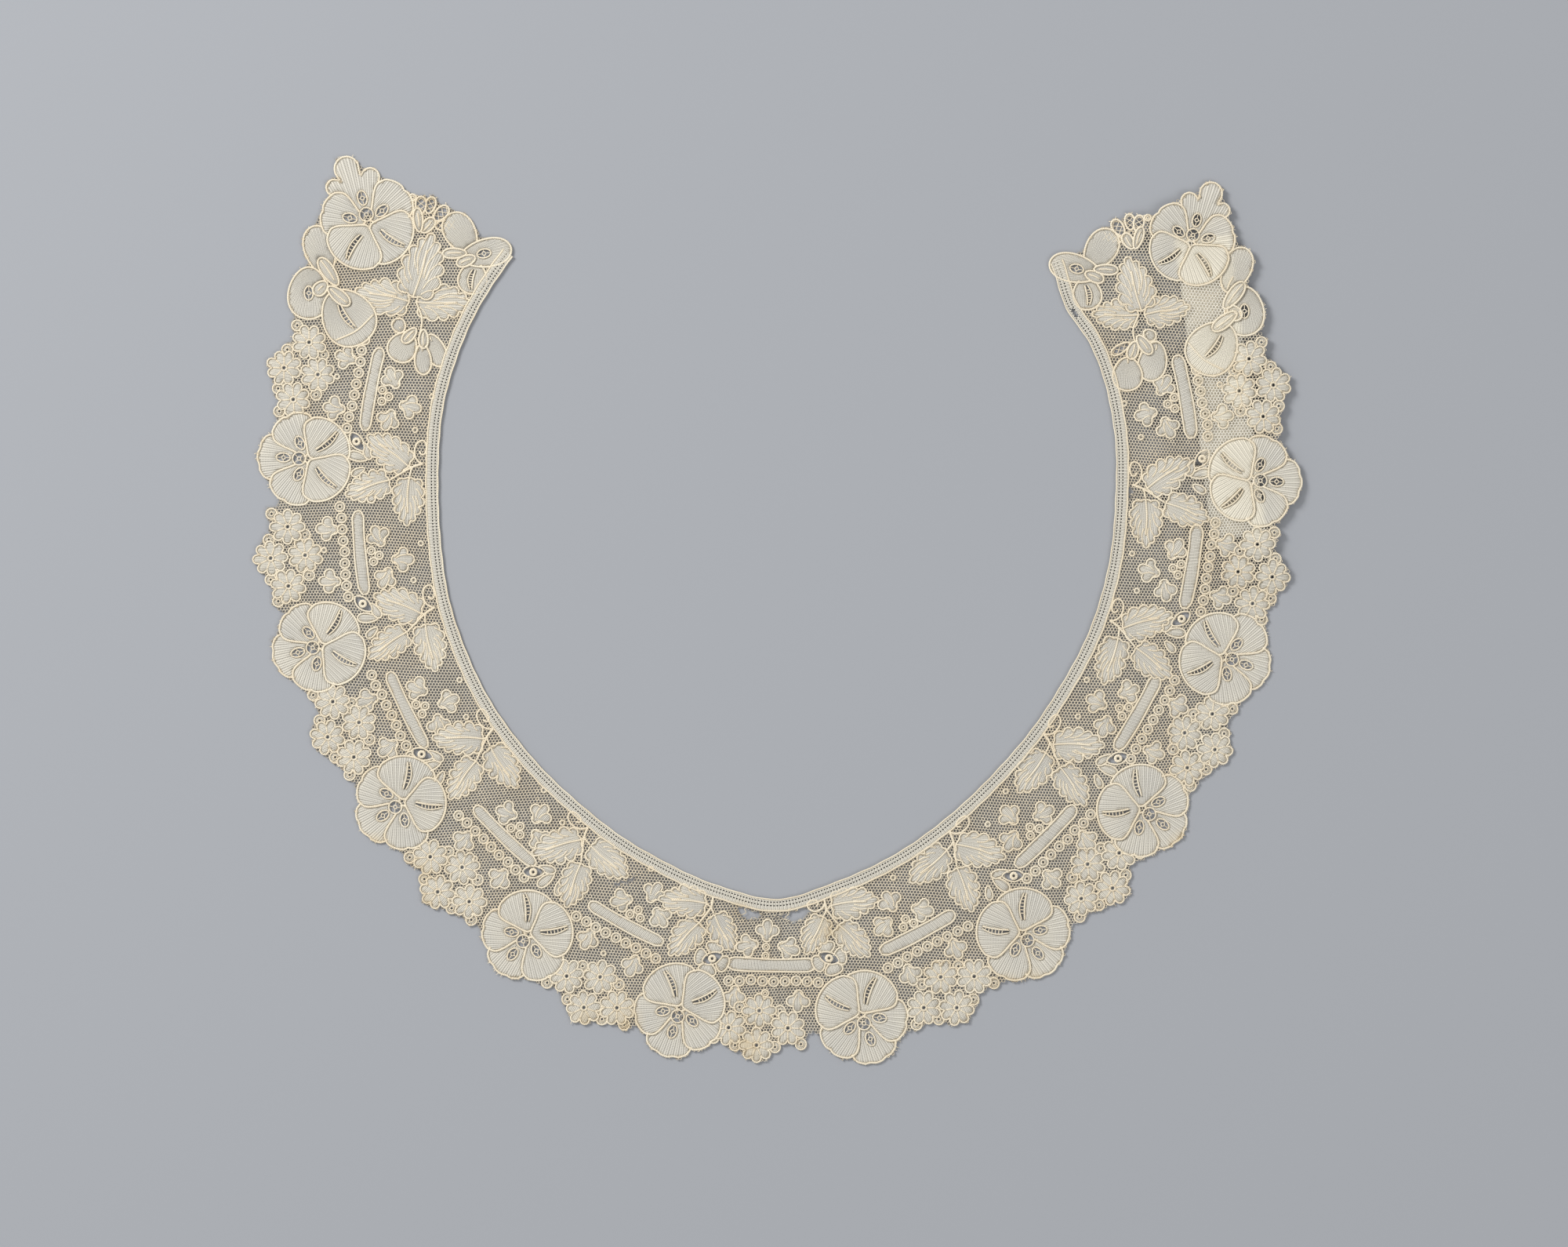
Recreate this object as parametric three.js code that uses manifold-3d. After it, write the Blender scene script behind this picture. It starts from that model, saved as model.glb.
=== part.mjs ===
// A collar of needle lace, lying flat and open. A net ground carries flowers, leaf sprays, posies of
// florets and narrow bars, each worked as a piece of its own; a footing band edges the neck, and a
// label tape is sewn under the right front.
// Millimetres. The origin is on the underside of the neck band at the centre back. +X is to the right
// as the collar lies, +Y runs to the two open ends and +Z is up.

import * as THREE from "three";
import { mergeVertices } from "three/addons/utils/BufferGeometryUtils.js";
import Module from "manifold-3d";

const wasm = await Module();
wasm.setup();

// ---- driving sizes ----
const GAP = 0.3; // between two pieces at a seam
const BAND_WIDTH = 3.2;
const THICK = { ground: 1.0, band: 1.6, bar: 1.4, leaf: 1.3, rib: 1.7, backing: 1.1, floret: 1.5, relief: 1.4 };
const GROUND = { inner: BAND_WIDTH + GAP, outer: 40, left: -229.6, right: 224.8, step: 7.5 };
const BAND_STEP = 7.5;

// The inner neck edge: its reach from the neck's middle, at turns from the centre back in degrees,
// positive towards the right.
const NECK_MIDDLE = { x: 0, y: 112.9 };
const NECK_EDGE = [
  { turn: -133, reach: 100.8 },
  { turn: -110, reach: 97.6 },
  { turn: -90, reach: 94.6 },
  { turn: -72, reach: 95.7 },
  { turn: -54, reach: 97.7 },
  { turn: -36, reach: 100.3 },
  { turn: -20, reach: 104.7 },
  { turn: -8, reach: 108.9 },
  { turn: 0, reach: 111.3 },
  { turn: 8, reach: 108.2 },
  { turn: 20, reach: 103.7 },
  { turn: 36, reach: 98.2 },
  { turn: 54, reach: 95.2 },
  { turn: 72, reach: 94.9 },
  { turn: 90, reach: 95.1 },
  { turn: 103, reach: 97.0 },
  { turn: 110, reach: 98.0 },
  { turn: 117, reach: 98.4 },
  { turn: 124, reach: 97.8 },
  { turn: 131, reach: 101.9 },
];

// Places on the collar are [along, depth]: along the neck edge from the centre back, and outwards from
// that edge. side is -1 on the left and 1 on the right, and along is always counted away from the
// centre back.
const REPEATS = [
  { side: -1, flower: [15.9, 37.1], spray: [17.1, 4.2], posy: [33.9, 41.9], bar: [34.5, 20.4] },
  { side: -1, flower: [51.9, 38.7], spray: [56.3, 4.1], posy: [72.9, 40.4], bar: [70.9, 20.9] },
  { side: -1, flower: [91.9, 37.4], spray: [93.7, 4.1], posy: [110.5, 40.4], bar: [108.4, 21.8] },
  { side: -1, flower: [128.3, 39.2], spray: [130.1, 5.2], posy: [147.0, 43.1], bar: [146.5, 22.5] },
  { side: -1, flower: [169.9, 37.8], spray: [169.4, 5.0], posy: [187.4, 41.2], bar: [186.6, 20.6] },
  { side: 1, flower: [11.2, 38.6], spray: [12.8, 4.1], posy: [31.2, 41.3], bar: [31.2, 22.4] },
  { side: 1, flower: [50.1, 39.6], spray: [51.8, 4.1], posy: [71.6, 41.5], bar: [69.4, 22.8] },
  { side: 1, flower: [88.7, 39.4], spray: [89.1, 4.1], posy: [108.0, 41.6], bar: [106.6, 22.4] },
  { side: 1, flower: [125.6, 39.0], spray: [124.8, 5.2], posy: [142.9, 41.0], bar: [142.4, 22.9] },
  { side: 1, flower: [163.7, 39.1], spray: [162.0, 5.4], posy: [182.2, 41.2], bar: [183.0, 20.9] },
];
const CENTRE = { side: 1, posy: [-2.2, 36.4], bar: [-0.9, 18.3], sprig: [-1.9, 13.4] };

// The pieces of the two front ends, each at x, y. facing is how far its outward direction leans from +Y
// towards its own side, in degrees.
const ENDS = [
  { side: -1, piece: "end_flower", x: -114.6, y: 192.1, facing: 14, size: 1.05 },
  { side: -1, piece: "profile_left", x: -124.6, y: 173.4, facing: 64, size: 1 },
  { side: -1, piece: "corner_bloom", x: -82.3, y: 180.6, facing: 51, size: 1 },
  { side: -1, piece: "bud_bloom", x: -100.0, y: 157.2, facing: 66, size: 1 },
  { side: -1, piece: "edge_sprig", x: -98.3, y: 192.6, facing: -25, size: 1 },
  { side: -1, piece: "end_leaf", x: -101.8, y: 169.2, facing: 61, size: 1 },
  { side: 1, piece: "end_flower", x: 116.6, y: 186.4, facing: 14, size: 0.96 },
  { side: 1, piece: "profile_right", x: 126.8, y: 165.3, facing: 67, size: 1 },
  { side: 1, piece: "corner_bloom", x: 84.6, y: 176.3, facing: 53, size: 1 },
  { side: 1, piece: "bud_bloom", x: 101.2, y: 153.9, facing: 67, size: 1 },
  { side: 1, piece: "edge_sprig", x: 98.8, y: 188.7, facing: -14, size: 0.95 },
  { side: 1, piece: "end_leaf", x: 102.4, y: 165.5, facing: 63, size: 0.84 },
];

// Local motifs: u is along the neck, away from the centre back, and v is outwards. turn is counted
// from v towards u. A petal is an egg with its middle at u, v, or so far out along its turn.
const FLOWER = [
  { turn: 0, out: 7.0, long: 5.7, wide: 5.6, top: 1.2 },
  { turn: 70, out: 6.7, long: 5.8, wide: 5.4, top: 1.3 },
  { turn: -70, out: 6.7, long: 5.8, wide: 5.4, top: 1.35 },
  { turn: 137, out: 6.4, long: 6.2, wide: 6.5, top: 1.5 },
  { turn: -137, out: 6.4, long: 6.2, wide: 6.5, top: 1.6 },
];
const END_FLOWER = [...FLOWER, { turn: -7, out: 12.2, long: 6.2, wide: 3.8, top: 1.25 }];
const PROFILE_LEFT = [
  { u: -3.6, v: 5.4, turn: -40, long: 6.0, wide: 5.4, top: 1.3 },
  { u: 7.6, v: 7.0, turn: 48, long: 7.0, wide: 4.2, top: 1.2 },
  { u: -5.6, v: -7.2, turn: -150, long: 8.4, wide: 7.0, top: 1.5 },
  { u: 1.5, v: -1.0, turn: 40, long: 4.6, wide: 3.0, top: 1.4 },
];
const PROFILE_RIGHT = [
  { u: -1.3, v: 4.2, turn: -25, long: 5.4, wide: 6.0, top: 1.3 },
  { u: 10.4, v: 7.2, turn: 43, long: 6.8, wide: 3.9, top: 1.2 },
  { u: -6.8, v: -7.4, turn: -150, long: 7.8, wide: 6.6, top: 1.5 },
  { u: 2.2, v: 0.2, turn: 40, long: 5.6, wide: 3.0, top: 1.4 },
];
const EDGE_SPRIG = [
  { u: -6.0, v: 0.2, turn: -12, long: 3.8, wide: 2.2, top: 1.2, corners: 7 },
  { u: -2.2, v: 0.4, turn: -4, long: 4.6, wide: 2.3, top: 1.3, corners: 7 },
  { u: 1.8, v: 0.2, turn: 4, long: 4.4, wide: 2.3, top: 1.25, corners: 7 },
  { u: 5.6, v: -0.4, turn: 12, long: 3.8, wide: 2.2, top: 1.2, corners: 7 },
];
const CORNER_BLOOM = [
  { u: 1.6, v: 9.0, turn: 10, long: 5.0, wide: 4.4, top: 1.3 },
  { u: 1.8, v: 0.4, turn: 130, long: 6.6, wide: 4.0, top: 1.5 },
  { u: -5.0, v: -1.0, turn: -120, long: 4.4, wide: 4.2, top: 1.4 },
  { u: -2.2, v: 4.6, turn: -30, long: 4.0, wide: 3.4, top: 1.2 },
];
const BUD_BLOOM = [
  { u: -2.4, v: 3.6, turn: -40, long: 4.2, wide: 3.2, top: 1.4 },
  { u: -4.0, v: -1.6, turn: -110, long: 4.4, wide: 3.2, top: 1.3 },
  { u: 0.6, v: -4.2, turn: 170, long: 4.0, wide: 3.2, top: 1.4 },
  { u: 2.4, v: 0.8, turn: 60, long: 4.4, wide: 3.0, top: 1.5 },
];
const END_PETALS = {
  end_flower: END_FLOWER,
  profile_left: PROFILE_LEFT,
  profile_right: PROFILE_RIGHT,
  corner_bloom: CORNER_BLOOM,
  bud_bloom: BUD_BLOOM,
  edge_sprig: EDGE_SPRIG,
};
const LEAVES = [
  { u: -1.0, v: 3.3, turn: 36, long: 14.4 },
  { u: -4.8, v: 8.6, turn: -20, long: 12.8 },
  { u: -3.8, v: 3.1, turn: -88, long: 14.0 },
];
const FIRST_LEAVES = [
  { u: 1.0, v: 1.7, turn: 77, long: 13.6 },
  { u: 1.2, v: 7.4, turn: 24, long: 12.4 },
  { u: -1.9, v: 3.8, turn: -46, long: 11.6 },
];
const END_LEAF = [
  { u: 0.8, v: 0.6, turn: 78, long: 18.8 },
  { u: -0.6, v: 0.8, turn: -17, long: 15.2 },
  { u: 0.2, v: -0.8, turn: 152, long: 15.6 },
];
const LEAF = { wide: 4.2, notch: 0.8, notchAfter: 0.17, rib: 0.9, ribReach: 0.75 };
const LEAF_LOBES = [
  { at: 0.08, wide: 0.74 },
  { at: 0.4, wide: 1.0 },
  { at: 0.7, wide: 0.84 },
];
const FLORETS = [
  { u: 8.4, v: -0.6 },
  { u: -8.2, v: 0.6 },
  { u: 0, v: 4.9 },
  { u: 0, v: -4.8 },
];
const FLORET = { petals: 8, outer: 4.8, inner: 3.9 };
const RINGLETS = [
  { u: 5.6, v: 5.0 },
  { u: -6.6, v: 5.6 },
  { u: 12.6, v: 3.4 },
  { u: -12.4, v: 3.8 },
];
const RINGLET = 1.9;
const POSY_BACKING = { u: 6.4, v: 3.4 };
const POSY_ROOM = [
  [-15.2, 6.5],
  [-13.6, -0.6],
  [-11.6, -3.7],
  [-6.4, -5.1],
  [-4.9, -7.9],
  [-2.0, -10.1],
  [2.0, -10.1],
  [4.9, -7.9],
  [6.6, -5.9],
  [11.2, -4.8],
  [13.8, -1.6],
  [15.2, 5.5],
  [4.0, 11.0],
  [-4.0, 11.0],
];
const BAR = { long: 23, wide: 3.1, centreLong: 25, bow: 0.4 };
const CHAIN = { long: 28.8, wide: 2.6, beyond: 4.8 };
const TREFOIL = { lobes: 3, outer: 3.4, inner: 1.9 };
const SPRIG = [
  { u: 4.2, v: -5.0, turn: 60 },
  { u: -2.9, v: -11.4, turn: 180 },
  { u: -7.7, v: -6.0, turn: -70 },
  { u: 7.4, v: 9.0, turn: 0 },
  { u: -7.2, v: 9.6, turn: 0 },
];
const CENTRE_SPRIG = [
  { u: 0, v: -4.4, turn: 180 },
  { u: -5.3, v: 0.2, turn: -75 },
  { u: 6.4, v: 0.2, turn: 75 },
  { u: -7.9, v: 14.8, turn: 0 },
  { u: 10.0, v: 14.8, turn: 0 },
];

// Two rips under the centre back and a slit beside the left of them, as x, y corners.
const RIPS = [
  { corners: [[-10.3, -0.2], [-4.8, -2.8], [-5.3, -3.6], [-7.8, -4.1], [-9.7, -2.9]] },
  { corners: [[-1.6, -2.7], [2.8, -3.1], [7.9, -0.2], [8.9, -1.4], [7.3, -3.6], [4.2, -4.8], [2.2, -3.9]] },
  { corners: [[-45.6, 5.6], [-39.2, 8.2], [-39.4, 7.2], [-42.6, 5.6]] },
];

// The label tape under the right front, and how far the lace rises to pass over it.
const LABEL = { x: 124.6, y: 145.0, long: 84.8, wide: 15.4, thick: 1.0, turn: 7 };
const RISE = { height: LABEL.thick + GAP, level: 9, ramp: 9 };

// ---- the neck edge as a curve ----
const radians = THREE.MathUtils.degToRad;

// The reach at a turn in degrees, on a smooth curve through the rows.
function reachAt(turn) {
  const last = NECK_EDGE.length - 1;
  const slope = (i) => {
    const before = NECK_EDGE[Math.max(i - 1, 0)];
    const after = NECK_EDGE[Math.min(i + 1, last)];
    return (after.reach - before.reach) / (after.turn - before.turn);
  };
  let i = 0;
  while (i < last - 1 && NECK_EDGE[i + 1].turn < turn) i += 1;
  const [from, to] = [NECK_EDGE[i], NECK_EDGE[i + 1]];
  const span = to.turn - from.turn;
  const t = (turn - from.turn) / span;
  return (
    (2 * t ** 3 - 3 * t ** 2 + 1) * from.reach +
    (t ** 3 - 2 * t ** 2 + t) * span * slope(i) +
    (3 * t ** 2 - 2 * t ** 3) * to.reach +
    (t ** 3 - t ** 2) * span * slope(i + 1)
  );
}

function neckPoint(turn) {
  const reach = reachAt(turn);
  const angle = radians(turn);
  return new THREE.Vector2(
    NECK_MIDDLE.x + reach * Math.sin(angle),
    NECK_MIDDLE.y - reach * Math.cos(angle),
  );
}

// The edge walked from its left end to its right one, with the length counted from the centre back.
const walk = [];
for (let turn = NECK_EDGE[0].turn; turn <= NECK_EDGE.at(-1).turn; turn += 0.5) {
  const point = neckPoint(turn);
  const before = walk.at(-1);
  walk.push({ turn, point, along: before ? before.along + point.distanceTo(before.point) : 0 });
}
const centreBack = walk.find((step) => step.turn === 0).along;
walk.forEach((step) => (step.along -= centreBack));

// A frame at a place: its point, and the directions along the neck and outwards.
function frameAt(along, depth) {
  let i = 1;
  while (i < walk.length - 1 && walk[i].along < along) i += 1;
  const [from, to] = [walk[i - 1], walk[i]];
  const t = (along - from.along) / (to.along - from.along);
  const before = walk[Math.max(i - 3, 0)].point;
  const after = walk[Math.min(i + 2, walk.length - 1)].point;
  const onward = after.clone().sub(before).normalize();
  const out = new THREE.Vector2(onward.y, -onward.x);
  const point = from.point.clone().lerp(to.point, t).addScaledVector(out, depth);
  return { point, onward, out };
}

// A motif's frame on one side, with u away from the centre back.
function motifFrame(side, [along, depth]) {
  const { point, onward, out } = frameAt(side * along, depth);
  return { point, away: onward.clone().multiplyScalar(side), out };
}

// The frame of an end piece. Its vectors carry the piece's size.
function endFrame({ side, x, y, facing, size }) {
  const lean = radians(facing);
  const out = new THREE.Vector2(side * Math.sin(lean), Math.cos(lean)).multiplyScalar(size);
  const away = new THREE.Vector2(-out.y, out.x).multiplyScalar(side);
  return { point: new THREE.Vector2(x, y), away, out };
}

const toCollar = (frame, [u, v]) =>
  frame.point.clone().addScaledVector(frame.away, u).addScaledVector(frame.out, v);

// ---- outlines, as [u, v] corners ----
const around = (count, corner) => Array.from({ length: count }, (_, i) => corner((2 * Math.PI * i) / count, i));

// An egg whose blunt end lies towards its turn.
function egg({ u = 0, v = 0, out = 0, turn, long, wide, corners = 9 }, grow = 0) {
  const angle = radians(turn);
  const [ahead, across] = [[Math.sin(angle), Math.cos(angle)], [Math.cos(angle), -Math.sin(angle)]];
  return around(corners, (a) => {
    const l = out + (long + grow) * Math.cos(a);
    const w = (wide + grow) * Math.sin(a) * (1 + 0.18 * Math.cos(a));
    return [u + ahead[0] * l + across[0] * w, v + ahead[1] * l + across[1] * w];
  });
}

// A star of rounded points, as a floret's or a trefoil's.
function star({ u, v, turn = 0, points, outer, inner }, grow = 0) {
  return around(points * 2, (a, i) => {
    const radius = (i % 2 ? inner : outer) + grow;
    return [u + radius * Math.sin(a + radians(turn)), v + radius * Math.cos(a + radians(turn))];
  });
}

// A lobed leaf from its stalk to its tip and back.
function leaf({ u, v, turn, long }) {
  const half = [];
  for (const { at, wide } of LEAF_LOBES) {
    half.push([at * long, wide * LEAF.wide]);
    half.push([(at + LEAF.notchAfter) * long, wide * LEAF.wide * LEAF.notch]);
  }
  const right = half.map(([l, w]) => [l, w]);
  const left = half.map(([l, w]) => [l, -w]).reverse();
  return turned([[-0.4, 0], ...right, [long, 0], ...left], u, v, turn);
}

// The plain room round a leaf, clear of its lobes.
function leafRoom({ u, v, turn, long }) {
  const wide = LEAF.wide + GAP;
  const half = [
    [-0.8, wide * 0.68],
    [0.28 * long, wide * 1.04],
    [0.74 * long, wide * 0.98],
    [long + 1.2 * GAP, wide * 0.42],
  ];
  const mirrored = half.map(([l, w]) => [l, -w]).reverse();
  return turned([...half, ...mirrored], u, v, turn);
}

// Corners given as [ahead, across], turned from v towards u and set at u, v.
function turned(corners, u, v, turn) {
  const [s, c] = [Math.sin(radians(turn)), Math.cos(radians(turn))];
  return corners.map(([l, w]) => [u + s * l + c * w, v + c * l - s * w]);
}

// A straight strip between two [u, v] places.
function strip(from, to, width) {
  const length = Math.hypot(to[0] - from[0], to[1] - from[1]);
  const turn = THREE.MathUtils.radToDeg(Math.atan2(to[0] - from[0], to[1] - from[1]));
  const half = width / 2;
  return turned([[0, -half], [0, half], [length, half], [length, -half]], from[0], from[1], turn);
}

function barOutline(long, wide) {
  const half = long / 2;
  return [
    [-half, -wide / 2],
    [0, -wide / 2 + BAR.bow],
    [half, -wide / 2],
    [half, wide / 2],
    [0, wide / 2 + BAR.bow],
    [-half, wide / 2],
  ];
}

// A chain of small rings, as one strip with pointed ends beside a bar.
function chainOutline() {
  const [half, wide] = [CHAIN.long / 2, CHAIN.wide / 2];
  const corners = [[-half, 0], [wide - half, wide], [half - wide, wide], [half, 0], [half - wide, -wide]];
  return [...corners, [wide - half, -wide]].map(([u, v]) => [u, CHAIN.beyond + v]);
}

// ---- solids ----
const BELOW = -1; // a cutter runs from here
const ABOVE = 4; // to here, past both faces of the lace

function solidOf(geometry) {
  geometry.deleteAttribute("normal");
  geometry.deleteAttribute("uv");
  const merged = mergeVertices(geometry, 1e-5);
  return new wasm.Manifold(
    new wasm.Mesh({
      numProp: 3,
      vertProperties: merged.attributes.position.array,
      triVerts: new Uint32Array(merged.index.array),
    }),
  );
}

// A slab on an outline of Vector2 corners, between two heights.
function slab(corners, top, bottom = 0) {
  const shape = new THREE.Shape(corners);
  const geometry = new THREE.ExtrudeGeometry(shape, { depth: top - bottom, bevelEnabled: false });
  return solidOf(geometry.translate(0, 0, bottom));
}

const join = (solids) => solids.reduce((whole, solid) => whole.add(solid));
const motifSlab = (frame, outline, top) => slab(outline.map((corner) => toCollar(frame, corner)), top);
const motifCutter = (frame, outline) =>
  slab(outline.map((corner) => toCollar(frame, corner)), ABOVE, BELOW);
const largest = (solid) =>
  solid.decompose().reduce((best, body) => (body.volume() > best.volume() ? body : best));

// How far the lace rises over the label tape at a place.
function riseAt(x, y) {
  const [s, c] = [Math.sin(radians(LABEL.turn)), Math.cos(radians(LABEL.turn))];
  const [dx, dy] = [x - LABEL.x, y - LABEL.y];
  const across = Math.abs(dx * c + dy * s) - LABEL.wide / 2;
  const along = Math.abs(dy * c - dx * s) - LABEL.long / 2;
  const distance = Math.hypot(Math.max(across, 0), Math.max(along, 0));
  return RISE.height * (1 - THREE.MathUtils.smoothstep(distance, RISE.level, RISE.level + RISE.ramp));
}

// ---- materials ----
const cloth = (colour) => new THREE.MeshStandardMaterial({ color: colour, roughness: 0.9, metalness: 0 });
const MATERIAL = {
  band: cloth(0xe6d9b8),
  ground: cloth(0xcfc6ae),
  toile: cloth(0xe3dcc9),
  thread: cloth(0xf0e3c0),
  label: cloth(0xe9dfc4),
};

// ---- the pieces, each laid clear of those before it ----
const collar = new THREE.Group();
const laid = [];
const NEAR = 45; // middles further apart than this never meet

function addMesh(name, solid, material) {
  const mesh = solid.getMesh();
  const geometry = new THREE.BufferGeometry();
  const position = new THREE.BufferAttribute(new Float32Array(mesh.vertProperties), 3);
  for (let i = 0; i < position.count; i += 1) {
    position.setZ(i, position.getZ(i) + riseAt(position.getX(i), position.getY(i)));
  }
  geometry.setAttribute("position", position);
  geometry.setIndex(new THREE.BufferAttribute(new Uint32Array(mesh.triVerts), 1));
  geometry.computeVertexNormals();
  const piece = new THREE.Mesh(geometry, material);
  piece.name = name;
  collar.add(piece);
}

function lay(name, frame, solid, room, material) {
  let clear = solid.subtract(bandRoom);
  for (const earlier of laid) {
    if (earlier.point.distanceTo(frame.point) < NEAR) clear = clear.subtract(earlier.room);
  }
  laid.push({ point: frame.point, room });
  addMesh(name, largest(clear), material);
}

function layFlower(name, frame, petals) {
  const solid = join(petals.map((petal) => motifSlab(frame, egg(petal), petal.top)));
  const room = join(petals.map((petal) => motifCutter(frame, egg({ ...petal, corners: 8 }, 1.9 * GAP))));
  lay(name, frame, solid, room, MATERIAL.toile);
}

function laySpray(name, frame, leaves, start) {
  const ribs = leaves.map(({ u, v, turn, long }) => {
    const reach = LEAF.ribReach * long;
    return [start, [u + reach * Math.sin(radians(turn)), v + reach * Math.cos(radians(turn))]];
  });
  const solid = join([
    ...leaves.map((one) => motifSlab(frame, leaf(one), THICK.leaf)),
    ...ribs.map(([from, to]) => motifSlab(frame, strip(from, to, LEAF.rib), THICK.rib)),
  ]);
  const room = join([
    ...leaves.map((one) => motifCutter(frame, leafRoom(one))),
    ...ribs.map(([from, to]) => motifCutter(frame, strip(from, to, LEAF.rib + 2 * GAP))),
  ]);
  lay(name, frame, solid, room, MATERIAL.toile);
}

function layPosy(name, frame) {
  const { u, v } = POSY_BACKING;
  const backing = [[u, 0], [0, v], [-u, 0], [0, -v]];
  const discs = RINGLETS.map((one) => ({ ...one, turn: 0, long: RINGLET, wide: RINGLET, corners: 5 }));
  const florets = FLORETS.map((one) => ({ ...one, points: FLORET.petals, ...FLORET }));
  const solid = join([
    ...discs.map((disc) => motifSlab(frame, egg(disc), THICK.backing)),
    motifSlab(frame, backing, THICK.backing),
    ...florets.map((one) => motifSlab(frame, star(one), THICK.floret)),
  ]);
  lay(name, frame, solid, motifCutter(frame, POSY_ROOM), MATERIAL.thread);
}

function layBar(name, frame, long) {
  const solid = motifSlab(frame, barOutline(long, BAR.wide), THICK.bar);
  const room = motifCutter(frame, barOutline(long + 2 * GAP, BAR.wide + 2 * GAP));
  lay(name, frame, solid, room, MATERIAL.toile);
}

// A strip that follows the neck edge between two depths.
function edgeStrip(from, to, inner, outer, step, top) {
  const count = Math.round((to - from) / step);
  const row = (depth) =>
    Array.from({ length: count + 1 }, (_, i) => frameAt(from + ((to - from) * i) / count, depth).point);
  return slab([...row(inner), ...row(outer).reverse()], top);
}

// The neck band, and the room that the other pieces leave it.
const bandEnds = [walk[0].along, walk.at(-1).along];
addMesh("neck_band", edgeStrip(...bandEnds, 0, BAND_WIDTH, BAND_STEP, THICK.band), MATERIAL.band);
const bandRoom = edgeStrip(bandEnds[0] - 1, bandEnds[1] + 1, -2, BAND_WIDTH + GAP, BAND_STEP, ABOVE);

const sideName = (side) => (side < 0 ? "left" : "right");
const endName = ({ side, piece }) => (piece.startsWith("profile") ? piece : `${piece}_${sideName(side)}`);
const numbers = { "-1": 0, 1: 0 };
const repeats = REPEATS.map((repeat) => {
  numbers[repeat.side] += 1;
  return { ...repeat, label: `${sideName(repeat.side)}_${numbers[repeat.side]}` };
});

for (const { label, side, flower } of repeats) {
  layFlower(`flower_${label}`, motifFrame(side, flower), FLOWER);
}
for (const end of ENDS) {
  const petals = END_PETALS[end.piece];
  if (petals) layFlower(endName(end), endFrame(end), petals);
}
for (const { label, side, spray } of repeats) {
  const leaves = label.endsWith("_1") ? FIRST_LEAVES : LEAVES;
  laySpray(`leaf_spray_${label}`, motifFrame(side, spray), leaves, [-0.6, 0.4]);
}
for (const end of ENDS) {
  if (end.piece === "end_leaf") laySpray(endName(end), endFrame(end), END_LEAF, [0, 0]);
}
for (const { label, side, posy } of repeats) layPosy(`posy_${label}`, motifFrame(side, posy));
layPosy("posy_centre", motifFrame(CENTRE.side, CENTRE.posy));
for (const { label, side, bar } of repeats) layBar(`bar_${label}`, motifFrame(side, bar), BAR.long);
layBar("bar_centre", motifFrame(CENTRE.side, CENTRE.bar), BAR.centreLong);

// The net ground: the raised chains and trefoils are fused to it, and every piece has its room in it.
// The end leaf on the left parts two small nets from the main one.
const NET_NAMES = ["net_ground", "net_end_left", "net_corner_left"];
const relief = [];
for (const { side, bar } of [...repeats, CENTRE]) {
  relief.push(motifSlab(motifFrame(side, bar), chainOutline(), THICK.relief));
}
for (const { side, bar } of repeats) {
  const frame = motifFrame(side, bar);
  for (const one of SPRIG) {
    relief.push(motifSlab(frame, star({ ...one, points: TREFOIL.lobes, ...TREFOIL }), THICK.relief));
  }
}
const centreFrame = motifFrame(CENTRE.side, CENTRE.sprig);
for (const one of CENTRE_SPRIG) {
  relief.push(motifSlab(centreFrame, star({ ...one, points: TREFOIL.lobes, ...TREFOIL }), THICK.relief));
}
let ground = edgeStrip(GROUND.left, GROUND.right, GROUND.inner, GROUND.outer, GROUND.step, THICK.ground);
ground = join([ground, ...relief]).subtract(bandRoom);
for (const { room } of laid) ground = ground.subtract(room);
for (const { corners } of RIPS) {
  ground = ground.subtract(slab(corners.map(([x, y]) => new THREE.Vector2(x, y)), ABOVE, BELOW));
}
const nets = ground.decompose().sort((one, other) => other.volume() - one.volume());
NET_NAMES.forEach((name, i) => addMesh(name, nets[i], MATERIAL.ground));

const tapeMesh = new THREE.Mesh(
  new THREE.BoxGeometry(LABEL.wide, LABEL.long, LABEL.thick),
  MATERIAL.label,
);
tapeMesh.name = "label_tape";
tapeMesh.position.set(LABEL.x, LABEL.y, LABEL.thick / 2);
tapeMesh.rotation.z = radians(LABEL.turn);
collar.add(tapeMesh);

export default collar;
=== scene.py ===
"""Looks of a flat collar of needle lace: stitched motifs edged with raised cords on a net of thread.

Tables and shapes are in millimetres, as in the CAD source, and become metres in Part.build. Places on
the collar are (along, depth): along the neck edge from the centre back, and outwards from that edge.
"""

import math

import bpy
import numpy as np
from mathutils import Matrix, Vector
from mathutils.geometry import delaunay_2d_cdt


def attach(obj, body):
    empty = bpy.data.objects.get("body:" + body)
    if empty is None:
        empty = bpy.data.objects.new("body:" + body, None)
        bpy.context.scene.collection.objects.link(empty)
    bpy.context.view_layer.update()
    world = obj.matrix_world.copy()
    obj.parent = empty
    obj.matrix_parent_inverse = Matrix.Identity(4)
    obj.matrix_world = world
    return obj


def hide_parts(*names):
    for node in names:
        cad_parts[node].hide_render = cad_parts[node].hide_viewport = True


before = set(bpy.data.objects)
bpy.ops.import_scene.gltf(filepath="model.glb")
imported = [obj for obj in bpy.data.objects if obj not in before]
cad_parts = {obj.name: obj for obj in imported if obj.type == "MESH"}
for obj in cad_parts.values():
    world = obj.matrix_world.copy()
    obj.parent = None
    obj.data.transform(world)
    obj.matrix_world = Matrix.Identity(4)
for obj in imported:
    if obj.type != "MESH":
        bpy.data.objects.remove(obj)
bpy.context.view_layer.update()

MM = 0.001
LEAST_SIDE = 0.01  # metres: the narrowest flat side that a sheet may state
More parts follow.
